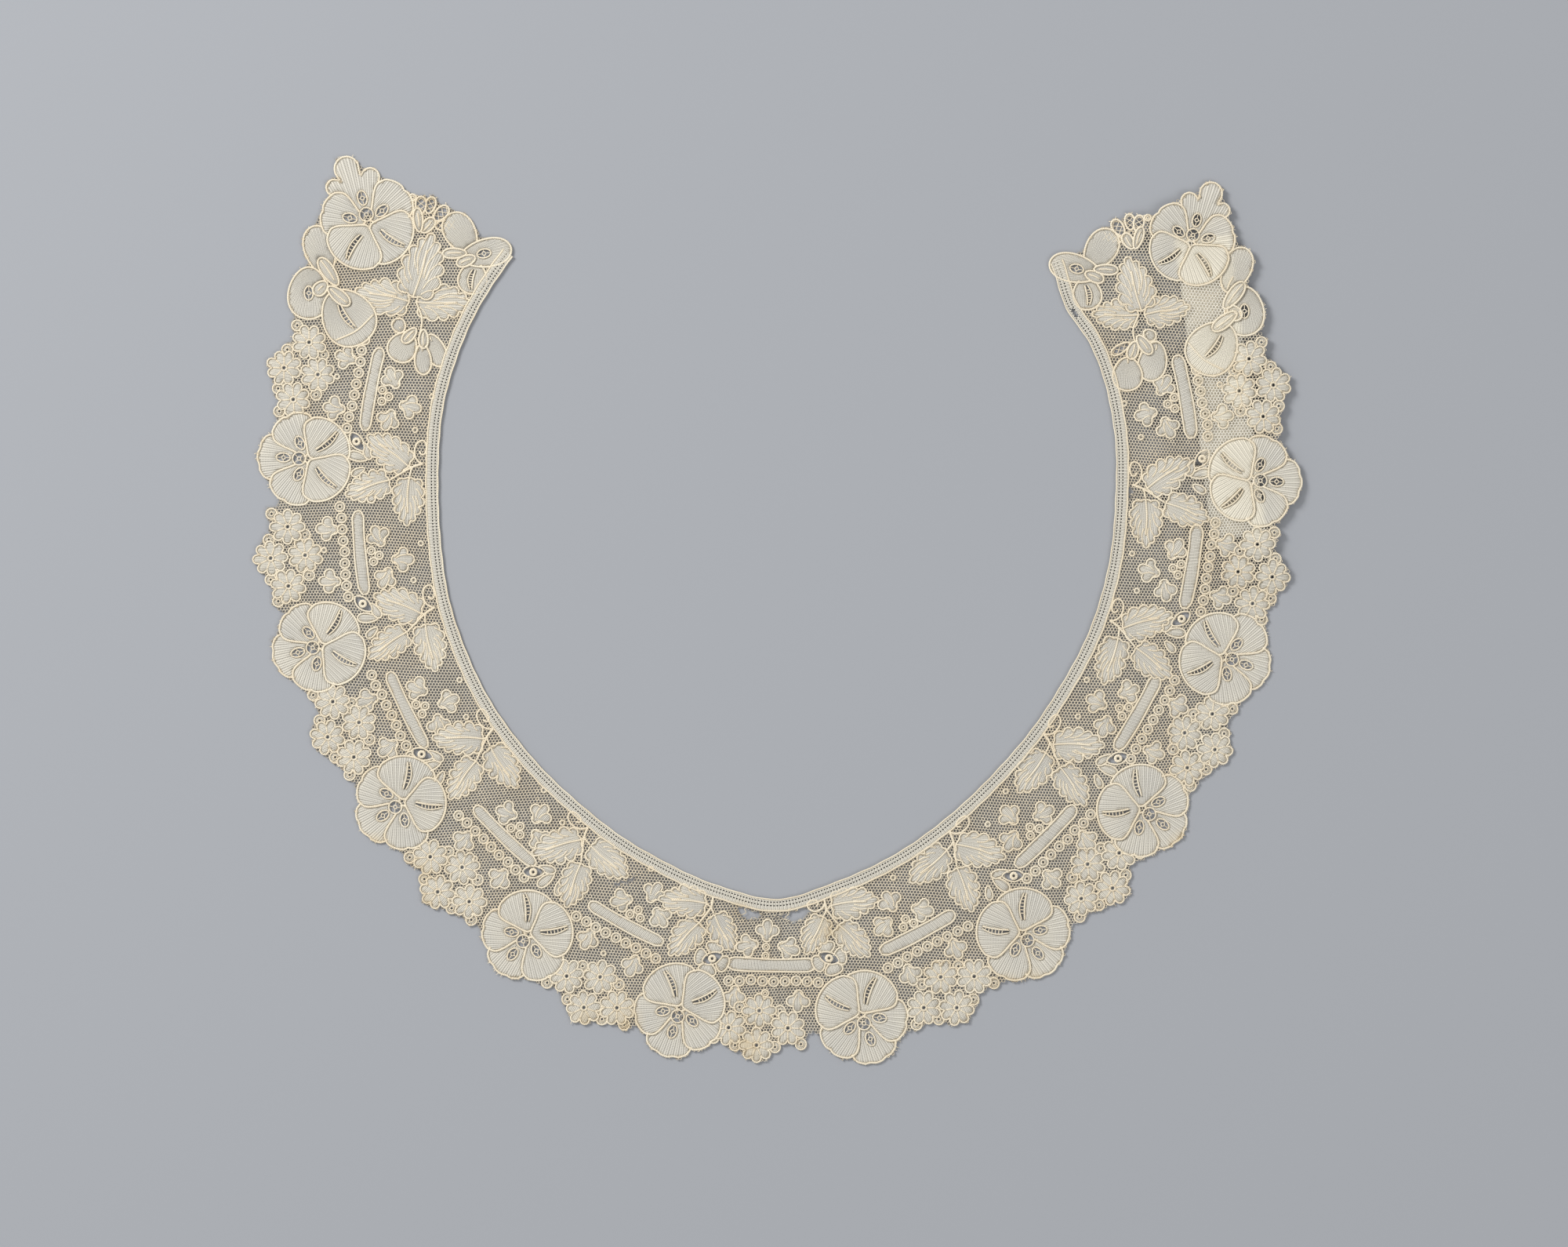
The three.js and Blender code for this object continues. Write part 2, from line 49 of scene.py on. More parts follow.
LEAST_SHARE = 0.301  # of the flat size, that a sheet's area may be
TAU = 2 * math.pi

# ---- driving sizes, millimetres ----
BAND_WIDTH = 3.2
CORD = 0.29  # radius of the raised cord that edges a motif
VEIN = 0.22
THREAD = 0.15
FINE = 0.12  # of the threads that cross an opening
CLOTH_THICK, BAND_THICK, TAPE_THICK = 0.16, 0.4, 0.45
STEP = 0.72  # between two points of a cord
GRAIN = 1.4  # between two points inside a stitched filling
ROW_SPREAD = 9.0  # how far behind a root its rows of stitches meet
ROW_PITCH, STITCH_PITCH = 0.48, 0.46  # of the stitches in a filling
PROUD = 0.13  # a cord's middle above its filling
WORKED = 0.46  # level of the small motifs on the net
LEAF_LEVEL, FLORET_LEVEL, BAR_LEVEL, RINGLET_LEVEL, STEM_LEVEL = 0.44, 0.5, 0.42, 0.3, 0.6
LAYER = 0.06  # each leaf or floret lies this much lower than the one before
PLY_LENGTH = 0.55  # along a thread, between two plies
WEAVE_PITCH = 0.7  # of the label tape
OUTER_RIM = 44  # depth beyond which an edge is the collar's own

NECK_MIDDLE = np.array([0, 112.9])
NECK_EDGE = np.array(  # turn in degrees, reach
    [
        (-133, 100.8), (-110, 97.6), (-90, 94.6), (-72, 95.7), (-54, 97.7), (-36, 100.3),
        (-20, 104.7), (-8, 108.9), (0, 111.3), (8, 108.2), (20, 103.7), (36, 98.2), (54, 95.2),
        (72, 94.9), (90, 95.1), (103, 97.0), (110, 98.0), (117, 98.4), (124, 97.8), (131, 101.9),
    ],
    float,
)
# side, flower, leaf spray, posy, bar: each at along, depth
REPEATS = [
    (-1, (15.9, 37.1), (17.1, 4.2), (33.9, 41.9), (34.5, 20.4)),
    (-1, (51.9, 38.7), (56.3, 4.1), (72.9, 40.4), (70.9, 20.9)),
    (-1, (91.9, 37.4), (93.7, 4.1), (110.5, 40.4), (108.4, 21.8)),
    (-1, (128.3, 39.2), (130.1, 5.2), (147.0, 43.1), (146.5, 22.5)),
    (-1, (169.9, 37.8), (169.4, 5.0), (187.4, 41.2), (186.6, 20.6)),
    (1, (11.2, 38.6), (12.8, 4.1), (31.2, 41.3), (31.2, 22.4)),
    (1, (50.1, 39.6), (51.8, 4.1), (71.6, 41.5), (69.4, 22.8)),
    (1, (88.7, 39.4), (89.1, 4.1), (108.0, 41.6), (106.6, 22.4)),
    (1, (125.6, 39.0), (124.8, 5.2), (142.9, 41.0), (142.4, 22.9)),
    (1, (163.7, 39.1), (162.0, 5.4), (182.2, 41.2), (183.0, 20.9)),
]
CENTRE_POSY, CENTRE_BAR, CENTRE_SPRIG = (-2.2, 36.4), (-0.9, 18.3), (-1.9, 13.4)
# side, piece, x, y, facing, size
ENDS = [
    (-1, "end_flower", -114.6, 192.1, 14, 1.05),
    (-1, "profile", -124.6, 173.4, 64, 1.0),
    (-1, "corner_bloom", -82.3, 180.6, 51, 1.0),
    (-1, "bud_bloom", -100.0, 157.2, 66, 1.0),
    (-1, "edge_sprig", -98.3, 192.6, -25, 1.0),
    (-1, "end_leaf", -101.8, 169.2, 61, 1.0),
    (1, "end_flower", 116.6, 186.4, 14, 0.96),
    (1, "profile", 126.8, 165.3, 67, 1.0),
    (1, "corner_bloom", 84.6, 176.3, 53, 1.0),
    (1, "bud_bloom", 101.2, 153.9, 67, 1.0),
    (1, "edge_sprig", 99.8, 187.9, -14, 0.95),
    (1, "end_leaf", 102.4, 165.5, 63, 0.84),
]
# What is worked in a petal is its mark, from and to these distances from its root.
HUB = (0, -1.0)  # where a flower's petals meet
CENTRE_HOLE = (0, 1.4)
CENTRE_REACH = 1.85
# Petals that spread from the hub, the topmost first: turn, spread, reach, dents, level, mark, from, to
FLOWER = [
    (-137, 46, 12.7, 0, 0.50, "slit", 3.6, 11.3),
    (137, 47, 12.7, 0, 0.43, "slit", 3.6, 11.3),
    (-62, 32, 13.4, 1, 0.34, "eye", 5.0, 0),
    (62, 32, 13.4, 1, 0.28, "eye", 5.0, 0),
    (0, 32, 13.8, 2, 0.22, "eye", 6.9, 0),
]
# The outer petal of an end flower has fingers: turn, reach, round
TIP_FINGERS = [(-30, 15.4, 2.2), (-8, 19.0, 3.3), (16, 14.8, 2.5)]
# Round petals, the topmost first: u, v, turn, long, wide, level, mark, from, to
PROFILE_LEFT = [
    (-1.6, -2.9, -166, 3.9, 1.7, 0.62, "vein", -3, 3),
    (3.2, 2.6, 30, 4.6, 1.8, 0.60, "vein", -3, 4),
    (-1.9, 2.6, -70, 2.4, 1.8, 0.56, "vein", -1, 1),
    (-5.9, -7.8, -150, 8.4, 7.3, 0.46, "fold", -4.4, 3.6),
    (-4.6, 5.0, -116, 7.3, 5.8, 0.34, "eye", 0, 0),
    (7.6, 7.4, 48, 7.0, 4.3, 0.26, "vein", -6, -2),
]
PROFILE_RIGHT = [
    (-1.2, -1.6, -166, 4.2, 1.7, 0.62, "vein", -3, 3),
    (4.4, 3.6, 30, 4.6, 1.8, 0.60, "vein", -3, 4),
    (-0.1, 1.8, -70, 2.4, 1.8, 0.56, "vein", -1, 1),
    (-6.8, -7.6, -150, 7.9, 7.0, 0.46, "fold", -4.2, 3.2),
    (-0.8, 4.6, -113, 6.9, 5.5, 0.34, "eye", 0, 0),
    (10.7, 6.9, 43, 6.7, 4.0, 0.26, "vein", -6, -2),
]
CORNER_BLOOM = [
    (-3.4, 7.4, -40, 3.4, 1.4, 0.56, "vein", -2, 2),
    (-3.0, 3.6, -60, 2.8, 1.5, 0.52, "vein", -1.6, 1.6),
    (2.2, 0.6, 130, 7.2, 3.9, 0.44, "eye", -0.6, 0),
    (-5.6, -0.9, -120, 4.5, 4.0, 0.34, "slit", -2.4, 3.2),
    (2.0, 9.6, 20, 6.3, 4.3, 0.26, "plain", 0, 0),
]
BUD_LEFT = [
    (1.0, 3.6, -70, 2.7, 1.4, 0.56, "vein", -1.8, 1.8),
    (1.7, -0.4, -114, 2.7, 1.3, 0.54, "vein", -1.8, 1.8),
    (-3.6, -2.6, -118, 4.3, 2.3, 0.44, "vein", -3.8, -2.4),
    (-2.7, 4.0, -82, 4.4, 4.0, 0.36, "vein", -4.0, -2.8),
    (0.2, -4.8, -136, 4.8, 2.7, 0.30, "vein", -4.2, -2.8),
    (2.3, 7.4, 40, 2.1, 1.9, 0.24, "vein", -1, -0.4),
]
BUD_RIGHT = [
    (1.8, -0.4, -130, 2.6, 1.5, 0.56, "vein", -1.8, 1.8),
    (2.0, 3.1, -76, 3.2, 1.5, 0.54, "vein", -1.8, 1.8),
    (-3.7, -4.4, -113, 4.7, 4.1, 0.44, "vein", -4.2, -3.0),
    (-3.2, 3.5, -126, 5.6, 3.9, 0.36, "vein", -4.6, -3.2),
    (3.6, -3.4, -172, 3.0, 1.2, 0.30, "mesh", 0, 0),
    (3.9, 5.5, -60, 1.9, 1.6, 0.24, "vein", -1, -0.4),
]
EDGE_SPRIG = [
    (-1.6, -1.5, -31, 3.4, 1.3, 0.46, "vein", -2, 2),
    (1.5, -1.7, 16, 2.6, 1.5, 0.42, "vein", -2, 1.4),
    (-2.7, 2.6, -25, 2.5, 1.5, 0.38, "mesh", 0, 0),
    (-0.3, 3.7, -7, 2.4, 1.4, 0.36, "mesh", 0, 0),
    (3.4, 2.9, 20, 2.7, 1.6, 0.34, "mesh", 0, 0),
    (-5.7, 3.6, 0, 0.95, 0.95, 0.32, "ring", 0, 0),
    (5.6, 0.2, 62, 2.6, 1.5, 0.28, "mesh", 0, 0),
]
# Leaves: u, v, turn, long
LEAVES = [(-1.0, 3.3, 36, 14.6), (-4.8, 8.6, -20, 13.2), (-3.8, 3.1, -88, 13.8)]
FIRST_LEAVES = [(1.0, 1.7, 77, 13.6), (1.2, 7.4, 24, 12.6), (-1.9, 3.8, -46, 11.8)]
END_LEAF = [(0.8, 0.6, 78, 18.8), (-0.6, 0.8, -17, 15.6), (0.2, -0.8, 152, 15.6)]
# A leaf as discs, in shares of its length: ahead, across, radius. Its lobes are mirrored.
LEAF_PALM = [(0.16, 0, 0.15), (0.36, 0, 0.22), (0.60, 0, 0.18), (0.78, 0, 0.12), (0.93, 0, 0.07)]
LEAF_LOBES = [
    (0.13, 0.17, 0.10), (0.30, 0.235, 0.10), (0.50, 0.24, 0.095), (0.68, 0.19, 0.082), (0.83, 0.11, 0.07),
]
TREFOIL_PALM = [(1.1, 0, 1.25), (2.7, 0, 1.95)]
TREFOIL_LOBES = [(3.1, -2.0, 1.35), (4.8, 0, 1.35), (3.1, 2.0, 1.35)]
FLORET = {"fingers": 8, "reach": 4.95, "round": 1.28}
FLORETS = [(8.4, -0.6), (-8.2, 0.6), (0, 4.9), (0, -4.8)]
RINGLETS = [(5.2, 5.0), (-6.0, 5.4), (12.4, 3.6), (-12.2, 3.8), (5.8, -5.2), (-5.6, -5.4)]
RINGLET_RADIUS = 1.55
BAR_LONG, BAR_CENTRE_LONG, BAR_BOW = 23.5, 25.0, 0.4
BAR_WIDE = {-1: 3.2, 1: 3.6}
TREFOIL_REACH = 6.0
CHAIN = {"rings": 9, "first": -12.0, "pitch": 3.16, "beyond": 4.8, "radius": 1.36}
SPRIG = [(4.2, -5.0, 60), (-2.9, -11.4, 180), (-7.7, -6.0, -70), (7.4, 9.0, 0), (-7.2, 9.6, 0)]
SPRIG_RINGS = {"spots": [(-1.2, -4.9), (0.3, -2.8), (-2.8, -3.2)], "radius": 1.15, "hole": 0.33}
CENTRE_TREFOILS = [(0, -4.4, 180), (-5.3, 0.2, -75), (6.4, 0.2, 75), (-7.9, 14.8, 0), (10.0, 14.8, 0)]
CENTRE_RINGS = {"spots": [(0, 0.2), (0, 2.7), (0.6, 13.2)], "radius": 1.0, "hole": 0.3}
# Single rings, beside a bar
DOTS = {"spots": [(1.1, -16.8), (-9.0, -13.9), (1.6, 10.4)], "radius": 0.72, "hole": 0.24}
CURL = np.array(  # a curled stem, away from the centre back
    [
        (0.2, 0.2), (1.6, 1.5), (4.0, 1.8), (6.0, 0.9), (6.4, -0.8), (4.9, -1.5), (3.0, -1.2), (2.4, -0.2),
        (3.5, 0.5),
    ]
)
CURL_SIDE = {"left_1": 0, "right_1": -0.8}  # none, and one that leads towards the centre back
# The couronne at each bar's near end: along, depth
COURONNES = {
    -1: [(12.0, 20.1), (59.8, 23.1), (98.0, 24.4), (134.7, 24.1), (174.3, 23.3)],
    1: [(8.8, 19.5), (56.9, 24.7), (94.8, 24.6), (130.4, 23.5), (168.7, 24.2)],
}
COURONNE = {"reach": 0.82, "radius": 0.45}
EYE = [(2.4, 1.7), (0.2, 1.9), (-1.7, 0.5), (-2.5, -2.1), (-0.2, -2.0), (1.8, -0.6)]
# Leaflets by a couronne: u, v, turn, long, wide
LEAFLETS = [(-2.5, -3.1, -115, 2.5, 1.1), (-4.2, -0.6, 12, 2.9, 1.3), (-8.4, -1.0, -32, 2.1, 1.0)]
MIDDLE_LEAFLETS = [
    (3.1, 0.5, 84, 1.8, 2.3), (-3.1, 0.4, -82, 1.8, 2.3), (0.3, 3.2, 0, 1.8, 2.5),
    (0.3, -3.0, 180, 1.7, 2.4),
]
NET = {"pitch": 0.88, "inner": 3.1, "outer": 38.0, "plain": 200.0, "reach": 1.8}
NET_SPLITS = (-118.0, 0.0, 118.0)  # places along the neck where the net is divided
NET_HOLE = 0.79  # the hole's reach as a share of the cell's
RIPS = [  # x, y
    [(-10.7, -0.4), (-8.9, -0.5), (-7.2, -1.4), (-3.6, -2.7), (-5.4, -3.8), (-7.0, -4.3), (-8.5, -4.2),
     (-9.9, -3.1)],
    [(-0.9, -3.0), (1.7, -2.9), (5.3, -1.7), (7.2, -0.5), (8.7, -1.0), (11.9, -2.3), (8.7, -2.6),
     (7.8, -4.2), (4.8, -5.3), (2.2, -4.0)],
    [(-45.6, 5.6), (-39.2, 8.2), (-39.4, 7.2), (-42.6, 5.6)],
    [(98.8, 114.2), (99.8, 114.3), (100.1, 115.1), (99.7, 115.4), (100.2, 116.0), (99.6, 116.8),
     (98.7, 116.5)],
]
RIP_THREADS = (7, 26, 8, 2)  # loose threads round each rip
# The neck band's strip, across it: depth, level. Its cords: depth, radius, level
BAND_ROWS = np.array(
    [(0.1, 0.55), (0.8, 0.70), (1.15, 0.70), (1.8, 0.76), (2.15, 0.74), (2.85, 0.70), (3.6, 0.56)]
)
BAND_CORDS = [(0.22, 0.2, 0.64), (3.5, 0.24, 0.62)]
BAND_COLUMN = 0.42  # length of each hole along the band, and of the bar beside it
BAND_SLIT = {"x": 83.9, "y": 165.5, "long": 3.0}  # a tear along the middle of the neck band
LOOSE = [  # long loose threads, x, y
    [(8.9, -1.4), (9.6, -0.2), (8.6, 0.8), (9.2, 2.2)],
    [(-9.6, -2.9), (-8.4, -2.2), (-8.9, -1.2), (-7.2, -0.6)],
    [(2.4, -3.6), (3.6, -2.6), (3.2, -1.6), (4.6, -0.9)],
]
STAINS = [  # browner places: x, y, radius
    (65, -24, 6), (72, -22, 5), (-8, -40, 6), (-10, -1.7, 4), (-42, -33, 6), (-53, -33, 5), (15.5, -7, 5),
    (-112, 16, 5), (-99, 0.7, 4), (-101, 9, 5), (114, 17, 5), (-98, 198, 4),
]
LABEL = {"x": 124.6, "y": 145.0, "long": 84.8, "wide": 15.4, "turn": 7}
RISE = {"height": 1.3, "level": 9, "ramp": 9}
CAMERA = {"x": 2.2, "y": 78.8, "height": 3000.0, "width": 440.0}
SENSOR = 36.0  # width of the camera's film
# Lamps: name, place and size in metres, power in watts
LAMPS = [("key", (-1.1, 1.0, 1.1), 0.7, 26), ("fill", (1.4, -0.9, 1.5), 1.4, 12)]
FLOOR_HALF, FLOOR_LEVEL = 6.0, -0.0001  # metres

rng = np.random.default_rng(7)


# ---- the neck edge ----
def reach_at(turn):
    """The reach at turns in degrees, on a smooth curve through the rows."""
    turns, reaches = NECK_EDGE.T
    before = np.maximum(np.arange(len(turns)) - 1, 0)
    after = np.minimum(np.arange(len(turns)) + 1, len(turns) - 1)
    slopes = (reaches[after] - reaches[before]) / (turns[after] - turns[before])
    i = np.clip(np.searchsorted(turns, turn) - 1, 0, len(turns) - 2)
    span = turns[i + 1] - turns[i]
    t = (turn - turns[i]) / span
    return (
        (2 * t**3 - 3 * t**2 + 1) * reaches[i]
        + (t**3 - 2 * t**2 + t) * span * slopes[i]
        + (3 * t**2 - 2 * t**3) * reaches[i + 1]
        + (t**3 - t**2) * span * slopes[i + 1]
    )


def walk_neck():
    """Points along the neck edge, how far each is from the centre back, and the way onward there."""
    turns = np.arange(NECK_EDGE[0, 0], NECK_EDGE[-1, 0] + 0.25, 0.5)
    angle = np.radians(turns)
    points = NECK_MIDDLE + reach_at(turns)[:, None] * np.stack([np.sin(angle), -np.cos(angle)], 1)
    along = np.concatenate([[0], np.cumsum(np.linalg.norm(np.diff(points, axis=0), axis=1))])
    along -= along[np.argmin(abs(turns))]
    i = np.arange(len(turns))
    onward = points[np.minimum(i + 2, len(i) - 1)] - points[np.maximum(i - 2, 0)]
    onward /= np.linalg.norm(onward, axis=1)[:, None]
    return points, along, onward


WALK, WALK_ALONG, WALK_ONWARD = walk_neck()


def frame_at(along, depth):
    """Points at along, depth, and the directions onward and out there."""
    along = np.asarray(along, float)
    i = np.clip(np.searchsorted(WALK_ALONG, along), 1, len(WALK_ALONG) - 1)
    t = ((along - WALK_ALONG[i - 1]) / (WALK_ALONG[i] - WALK_ALONG[i - 1]))[..., None]
    inside_t = np.clip(t, 0, 1)
    onward = WALK_ONWARD[i - 1] * (1 - inside_t) + WALK_ONWARD[i] * inside_t
    onward /= np.linalg.norm(onward, axis=-1)[..., None]
    out = np.stack([onward[..., 1], -onward[..., 0]], -1)
    base = WALK[i - 1] * (1 - t) + WALK[i] * t
    return base + out * np.asarray(depth, float)[..., None], onward, out


def neck_depth(points):
    """Each point's place along the neck and its distance from the neck edge."""
    walk, walk_along, onward = WALK[::4], WALK_ALONG[::4], WALK_ONWARD[::4]
    out = np.stack([onward[:, 1], -onward[:, 0]], 1)
    rows = []
    for i in range(0, len(points), 8000):
        some = points[i : i + 8000]
        k = ((some[:, None] - walk) ** 2).sum(2).argmin(1)
        rel = some - walk[k]
        rows.append(np.stack([walk_along[k] + (rel * onward[k]).sum(1), (rel * out[k]).sum(1)], 1))
    return np.concatenate(rows).T


class Place:
    """A motif's frame: u is away from the centre back, v is outwards."""

    def __init__(self, point, away, out):
        self.point, self.away, self.out = point, away, out

    def __call__(self, uv):
        uv = np.asarray(uv, float)
        return self.point + uv[..., :1] * self.away + uv[..., 1:] * self.out


def place_at(side, at):
    """A place on the left (-1) or right (1) at along, depth."""
    point, onward, out = frame_at(side * at[0], at[1])
    return Place(point, onward * side, out)


def place_end(side, x, y, facing, size):
    """A place at x, y whose v leans away from the middle by facing degrees."""
    lean = math.radians(facing)
    out = np.array([side * math.sin(lean), math.cos(lean)]) * size
    return Place(np.array([x, y]), np.array([-out[1], out[0]]) * side, out)


def off_tape(xy):
    """Each point's distance from the label tape, negative over it."""
    turn = math.radians(LABEL["turn"])
    dx, dy = xy[:, 0] - LABEL["x"], xy[:, 1] - LABEL["y"]
    across = abs(dx * math.cos(turn) + dy * math.sin(turn)) - LABEL["wide"] / 2
    along = abs(dy * math.cos(turn) - dx * math.sin(turn)) - LABEL["long"] / 2
    return np.hypot(np.maximum(across, 0), np.maximum(along, 0)) + np.minimum(np.maximum(across, along), 0)


def over_tape(xy):
    """One over the label tape, where the lace looks denser and the net's threads are painted lighter as
    painted light, and nothing beside it.
    """
    return np.clip(0.5 - off_tape(xy), 0, 1)


def rise_at(xy):
    """How far the lace rises to pass over the label tape."""
    t = np.clip((off_tape(xy) - RISE["level"]) / RISE["ramp"], 0, 1)
    return RISE["height"] * (1 - t * t * (3 - 2 * t))


# ---- outlines, as rows of u, v ----
def heading(turn):
    """One step in u, v at a turn from v towards u."""
    a = math.radians(turn)
    return np.array([math.sin(a), math.cos(a)])


def turned(ahead_across, u, v, turn):
    """Rows of ahead, across, turned from v towards u and set at u, v."""
    ahead, (du, dv) = ahead_across, heading(turn)
    rows = [ahead[:, 0] * du + ahead[:, 1] * dv + u, ahead[:, 0] * dv - ahead[:, 1] * du + v]
    return np.stack(rows, 1)


def egg(long, wide, count=52):
    """A round petal, in ahead, across."""
    a = np.arange(count) * TAU / count
    return np.stack([long * np.cos(a), wide * np.sin(a) * (1 + 0.16 * np.cos(a))], 1)


def sector(spread, reach, dents):
    """A petal that widens from its root to a round end with shallow dents, in ahead, across."""
    outer = np.linspace(-0.84, 0.84, 15)
    far = 1 - 0.075 * abs(outer / 0.84) ** 2.4
    for k in range(dents):
        far = far - 0.035 * np.exp(-(((outer - (k + 1 - (dents + 1) / 2) * 0.62) / 0.09) ** 2))
    side = np.array([-0.84, -1.12, -1.17, -1.09])
    side_far = np.array([0.10, 0.36, 0.62, 0.80])
    share = np.concatenate([side, outer, -side[::-1]])
    a = np.radians(spread * share)
    far = np.concatenate([side_far, far, side_far[::-1]])
    return smooth(np.stack([np.cos(a), np.sin(a)], 1) * (far * reach)[:, None], True, 3)


def ring(u, v, radius, count=14):
    a = np.arange(count) * TAU / count
    return np.stack([u + radius * np.sin(a), v + radius * np.cos(a)], 1)


def fan(fingers, pull, base=(), closed=False):
    """Round fingers side by side, in ahead, across: the outline, and its notches pulled inwards."""
    arcs = []
    for turn, reach, radius in fingers:
        sweep = np.radians(turn + np.linspace(-86, 86, 7))
        tip = (reach - radius) * heading(turn)[::-1]
        arcs.append(tip + radius * np.stack([np.cos(sweep), np.sin(sweep)], 1))
    outline, notches = [], []
    for i, arc in enumerate(arcs):
        outline.append(arc)
        if i == len(arcs) - 1 and not closed:
            break
        gap = (arc[-1] + arcs[(i + 1) % len(arcs)][0]) / 2
        notches.append(gap - gap * pull)
        outline.append(notches[-1][None])
    if len(base):
        outline.append(np.array(base, float))
    return np.concatenate(outline), notches


def lobed(palm, lobes, centre, size=1.0):
    """The outline round discs as seen from a middle point, and its notches, in ahead, across."""
    loose = [
        (ahead, across * rng.uniform(0.92, 1.06), reach * rng.uniform(0.92, 1.1))
        for ahead, across, reach in lobes
    ]
    discs = np.array([*palm, *loose]) * size
    a = np.arange(120) * TAU / 120
    way = np.stack([np.cos(a), np.sin(a)], 1)
    middle = np.array([centre * size, 0.0])
    rel = discs[:, :2] - middle
    near = way @ rel.T
    room = discs[:, 2] ** 2 - (rel**2).sum(1) + near**2
    far = np.where(room > 0, near + np.sqrt(np.maximum(room, 0)), 0).max(1)
    outline = middle + way * far[:, None]
    run = np.roll(outline, -1, 0) - outline
    before = np.roll(run, 1, 0)
    bend = np.arctan2(before[:, 0] * run[:, 1] - before[:, 1] * run[:, 0], (before * run).sum(1))
    notch = (bend < -0.35) & (bend <= np.roll(bend, 1)) & (bend < np.roll(bend, -1))
    return outline, outline[notch & (outline[:, 0] > 0.16 * size)]


def resample(line, step, closed):
    """The line with points evenly spread along it."""
    path = np.concatenate([line, line[:1]]) if closed else line
    length = np.concatenate([[0], np.cumsum(np.linalg.norm(np.diff(path, axis=0), axis=1))])
    count = max(int(round(length[-1] / step)), 4 if closed else 1)
    at = np.linspace(0, length[-1], count + 1)
    if closed:
        at = at[:-1]
    return np.stack([np.interp(at, length, path[:, k]) for k in range(path.shape[1])], 1)


def smooth(points, closed=False, per=6):
    """A smooth curve through the points."""
    p = np.asarray(points, float)
    if closed:
        p = np.concatenate([p[-1:], p, p[:2]])
    else:
        p = np.concatenate([2 * p[:1] - p[1:2], p, 2 * p[-1:] - p[-2:-1]])
    t = (np.arange(per) / per)[:, None]
    rows = []
    for i in range(1, len(p) - 2):
        a, b, c, d = p[i - 1 : i + 3]
        bend = (2 * a - 5 * b + 4 * c - d) * t**2 + (3 * b - a - 3 * c + d) * t**3
        rows.append(0.5 * (2 * b + (c - a) * t + bend))
    curve = np.concatenate(rows)
    return curve if closed else np.concatenate([curve, p[-2:-1]])


def inside(points, loop):
    """Which points lie in the closed loop."""
    lo, hi = loop.min(0), loop.max(0)
    near = np.all((points >= lo) & (points <= hi), axis=1)
    found = np.zeros(len(points), bool)
    if not near.any():
        return found
    x, y = points[near, 0, None], points[near, 1, None]
    x0, y0 = loop.T
    x1, y1 = np.roll(loop, -1, 0).T
    crosses = (y0 > y) != (y1 > y)
    rise = np.where(y1 == y0, 1, y1 - y0)
    found[near] = (crosses & (x < x0 + (y - y0) * (x1 - x0) / rise)).sum(1) % 2 == 1
    return found


def off_edge(points, loops):
    """Each point's distance from the nearest loop."""
    best = np.full(len(points), 1e9)
    for loop in loops:
        a, b = loop, np.roll(loop, -1, 0)
        run = b - a
        rel = points[:, None] - a
        t = np.clip((rel * run).sum(2) / np.maximum((run * run).sum(1), 1e-12), 0, 1)
        best = np.minimum(best, np.linalg.norm(rel - t[..., None] * run, axis=2).min(1))
    return best


# ---- mesh making ----
class Part:
    """Points in millimetres, triangles, and each point's stitch: two lengths and a tone."""

    def __init__(self):
        self.points, self.faces, self.stitch, self.count = [], [], [], 0
        self.plan_area = 0.0

    def add(self, points, faces, stitch):
        self.points.append(points)
        self.faces.append(faces + self.count)
        self.stitch.append(stitch)
        self.count += len(points)

    def build(self, name, material):
        points = np.concatenate(self.points)
        faces = np.concatenate(self.faces).astype(np.int32)
        points[:, 2] += rise_at(points[:, :2])
        mesh = bpy.data.meshes.new(name)
        mesh.vertices.add(len(points))
        mesh.vertices.foreach_set("co", (points * MM).astype(np.float32).ravel())
        mesh.loops.add(faces.size)
        mesh.loops.foreach_set("vertex_index", faces.ravel())
        mesh.polygons.add(len(faces))
        mesh.polygons.foreach_set("loop_start", np.arange(0, faces.size, 3, dtype=np.int32))
        stitch = mesh.attributes.new("stitch", "FLOAT_VECTOR", "POINT")
        stitch.data.foreach_set("vector", np.concatenate(self.stitch).astype(np.float32).ravel())
        mesh.update(calc_edges=True)
        mesh.validate()
        mesh.shade_smooth()
        mesh.materials.append(material)
        made = bpy.data.objects.new(name, mesh)
        bpy.context.scene.collection.objects.link(made)
        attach(made, "root")
        return made


def raised(xy, z):
    """Rows of x, y, z: at one level, or at one for each point."""
    return np.concatenate([xy, np.broadcast_to(z, len(xy))[:, None]], 1)


def shell(part, top, faces, stitch, thick=CLOTH_THICK):
    """A thin closed shell under a top surface."""
    count = len(top)
    edges = np.concatenate([faces[:, [0, 1]], faces[:, [1, 2]], faces[:, [2, 0]]])
    key = np.sort(edges, axis=1)
    _, first, uses = np.unique(key, axis=0, return_index=True, return_counts=True)
    rim = edges[first[uses == 1]]
    under = faces[:, ::-1] + count
    a, b = rim.T
    walls = np.concatenate([np.stack([a, a + count, b], 1), np.stack([b, a + count, b + count], 1)])
    points = np.concatenate([top, top - [0, 0, thick]])
    part.add(points, np.concatenate([faces, under, walls]), np.concatenate([stitch, stitch]))


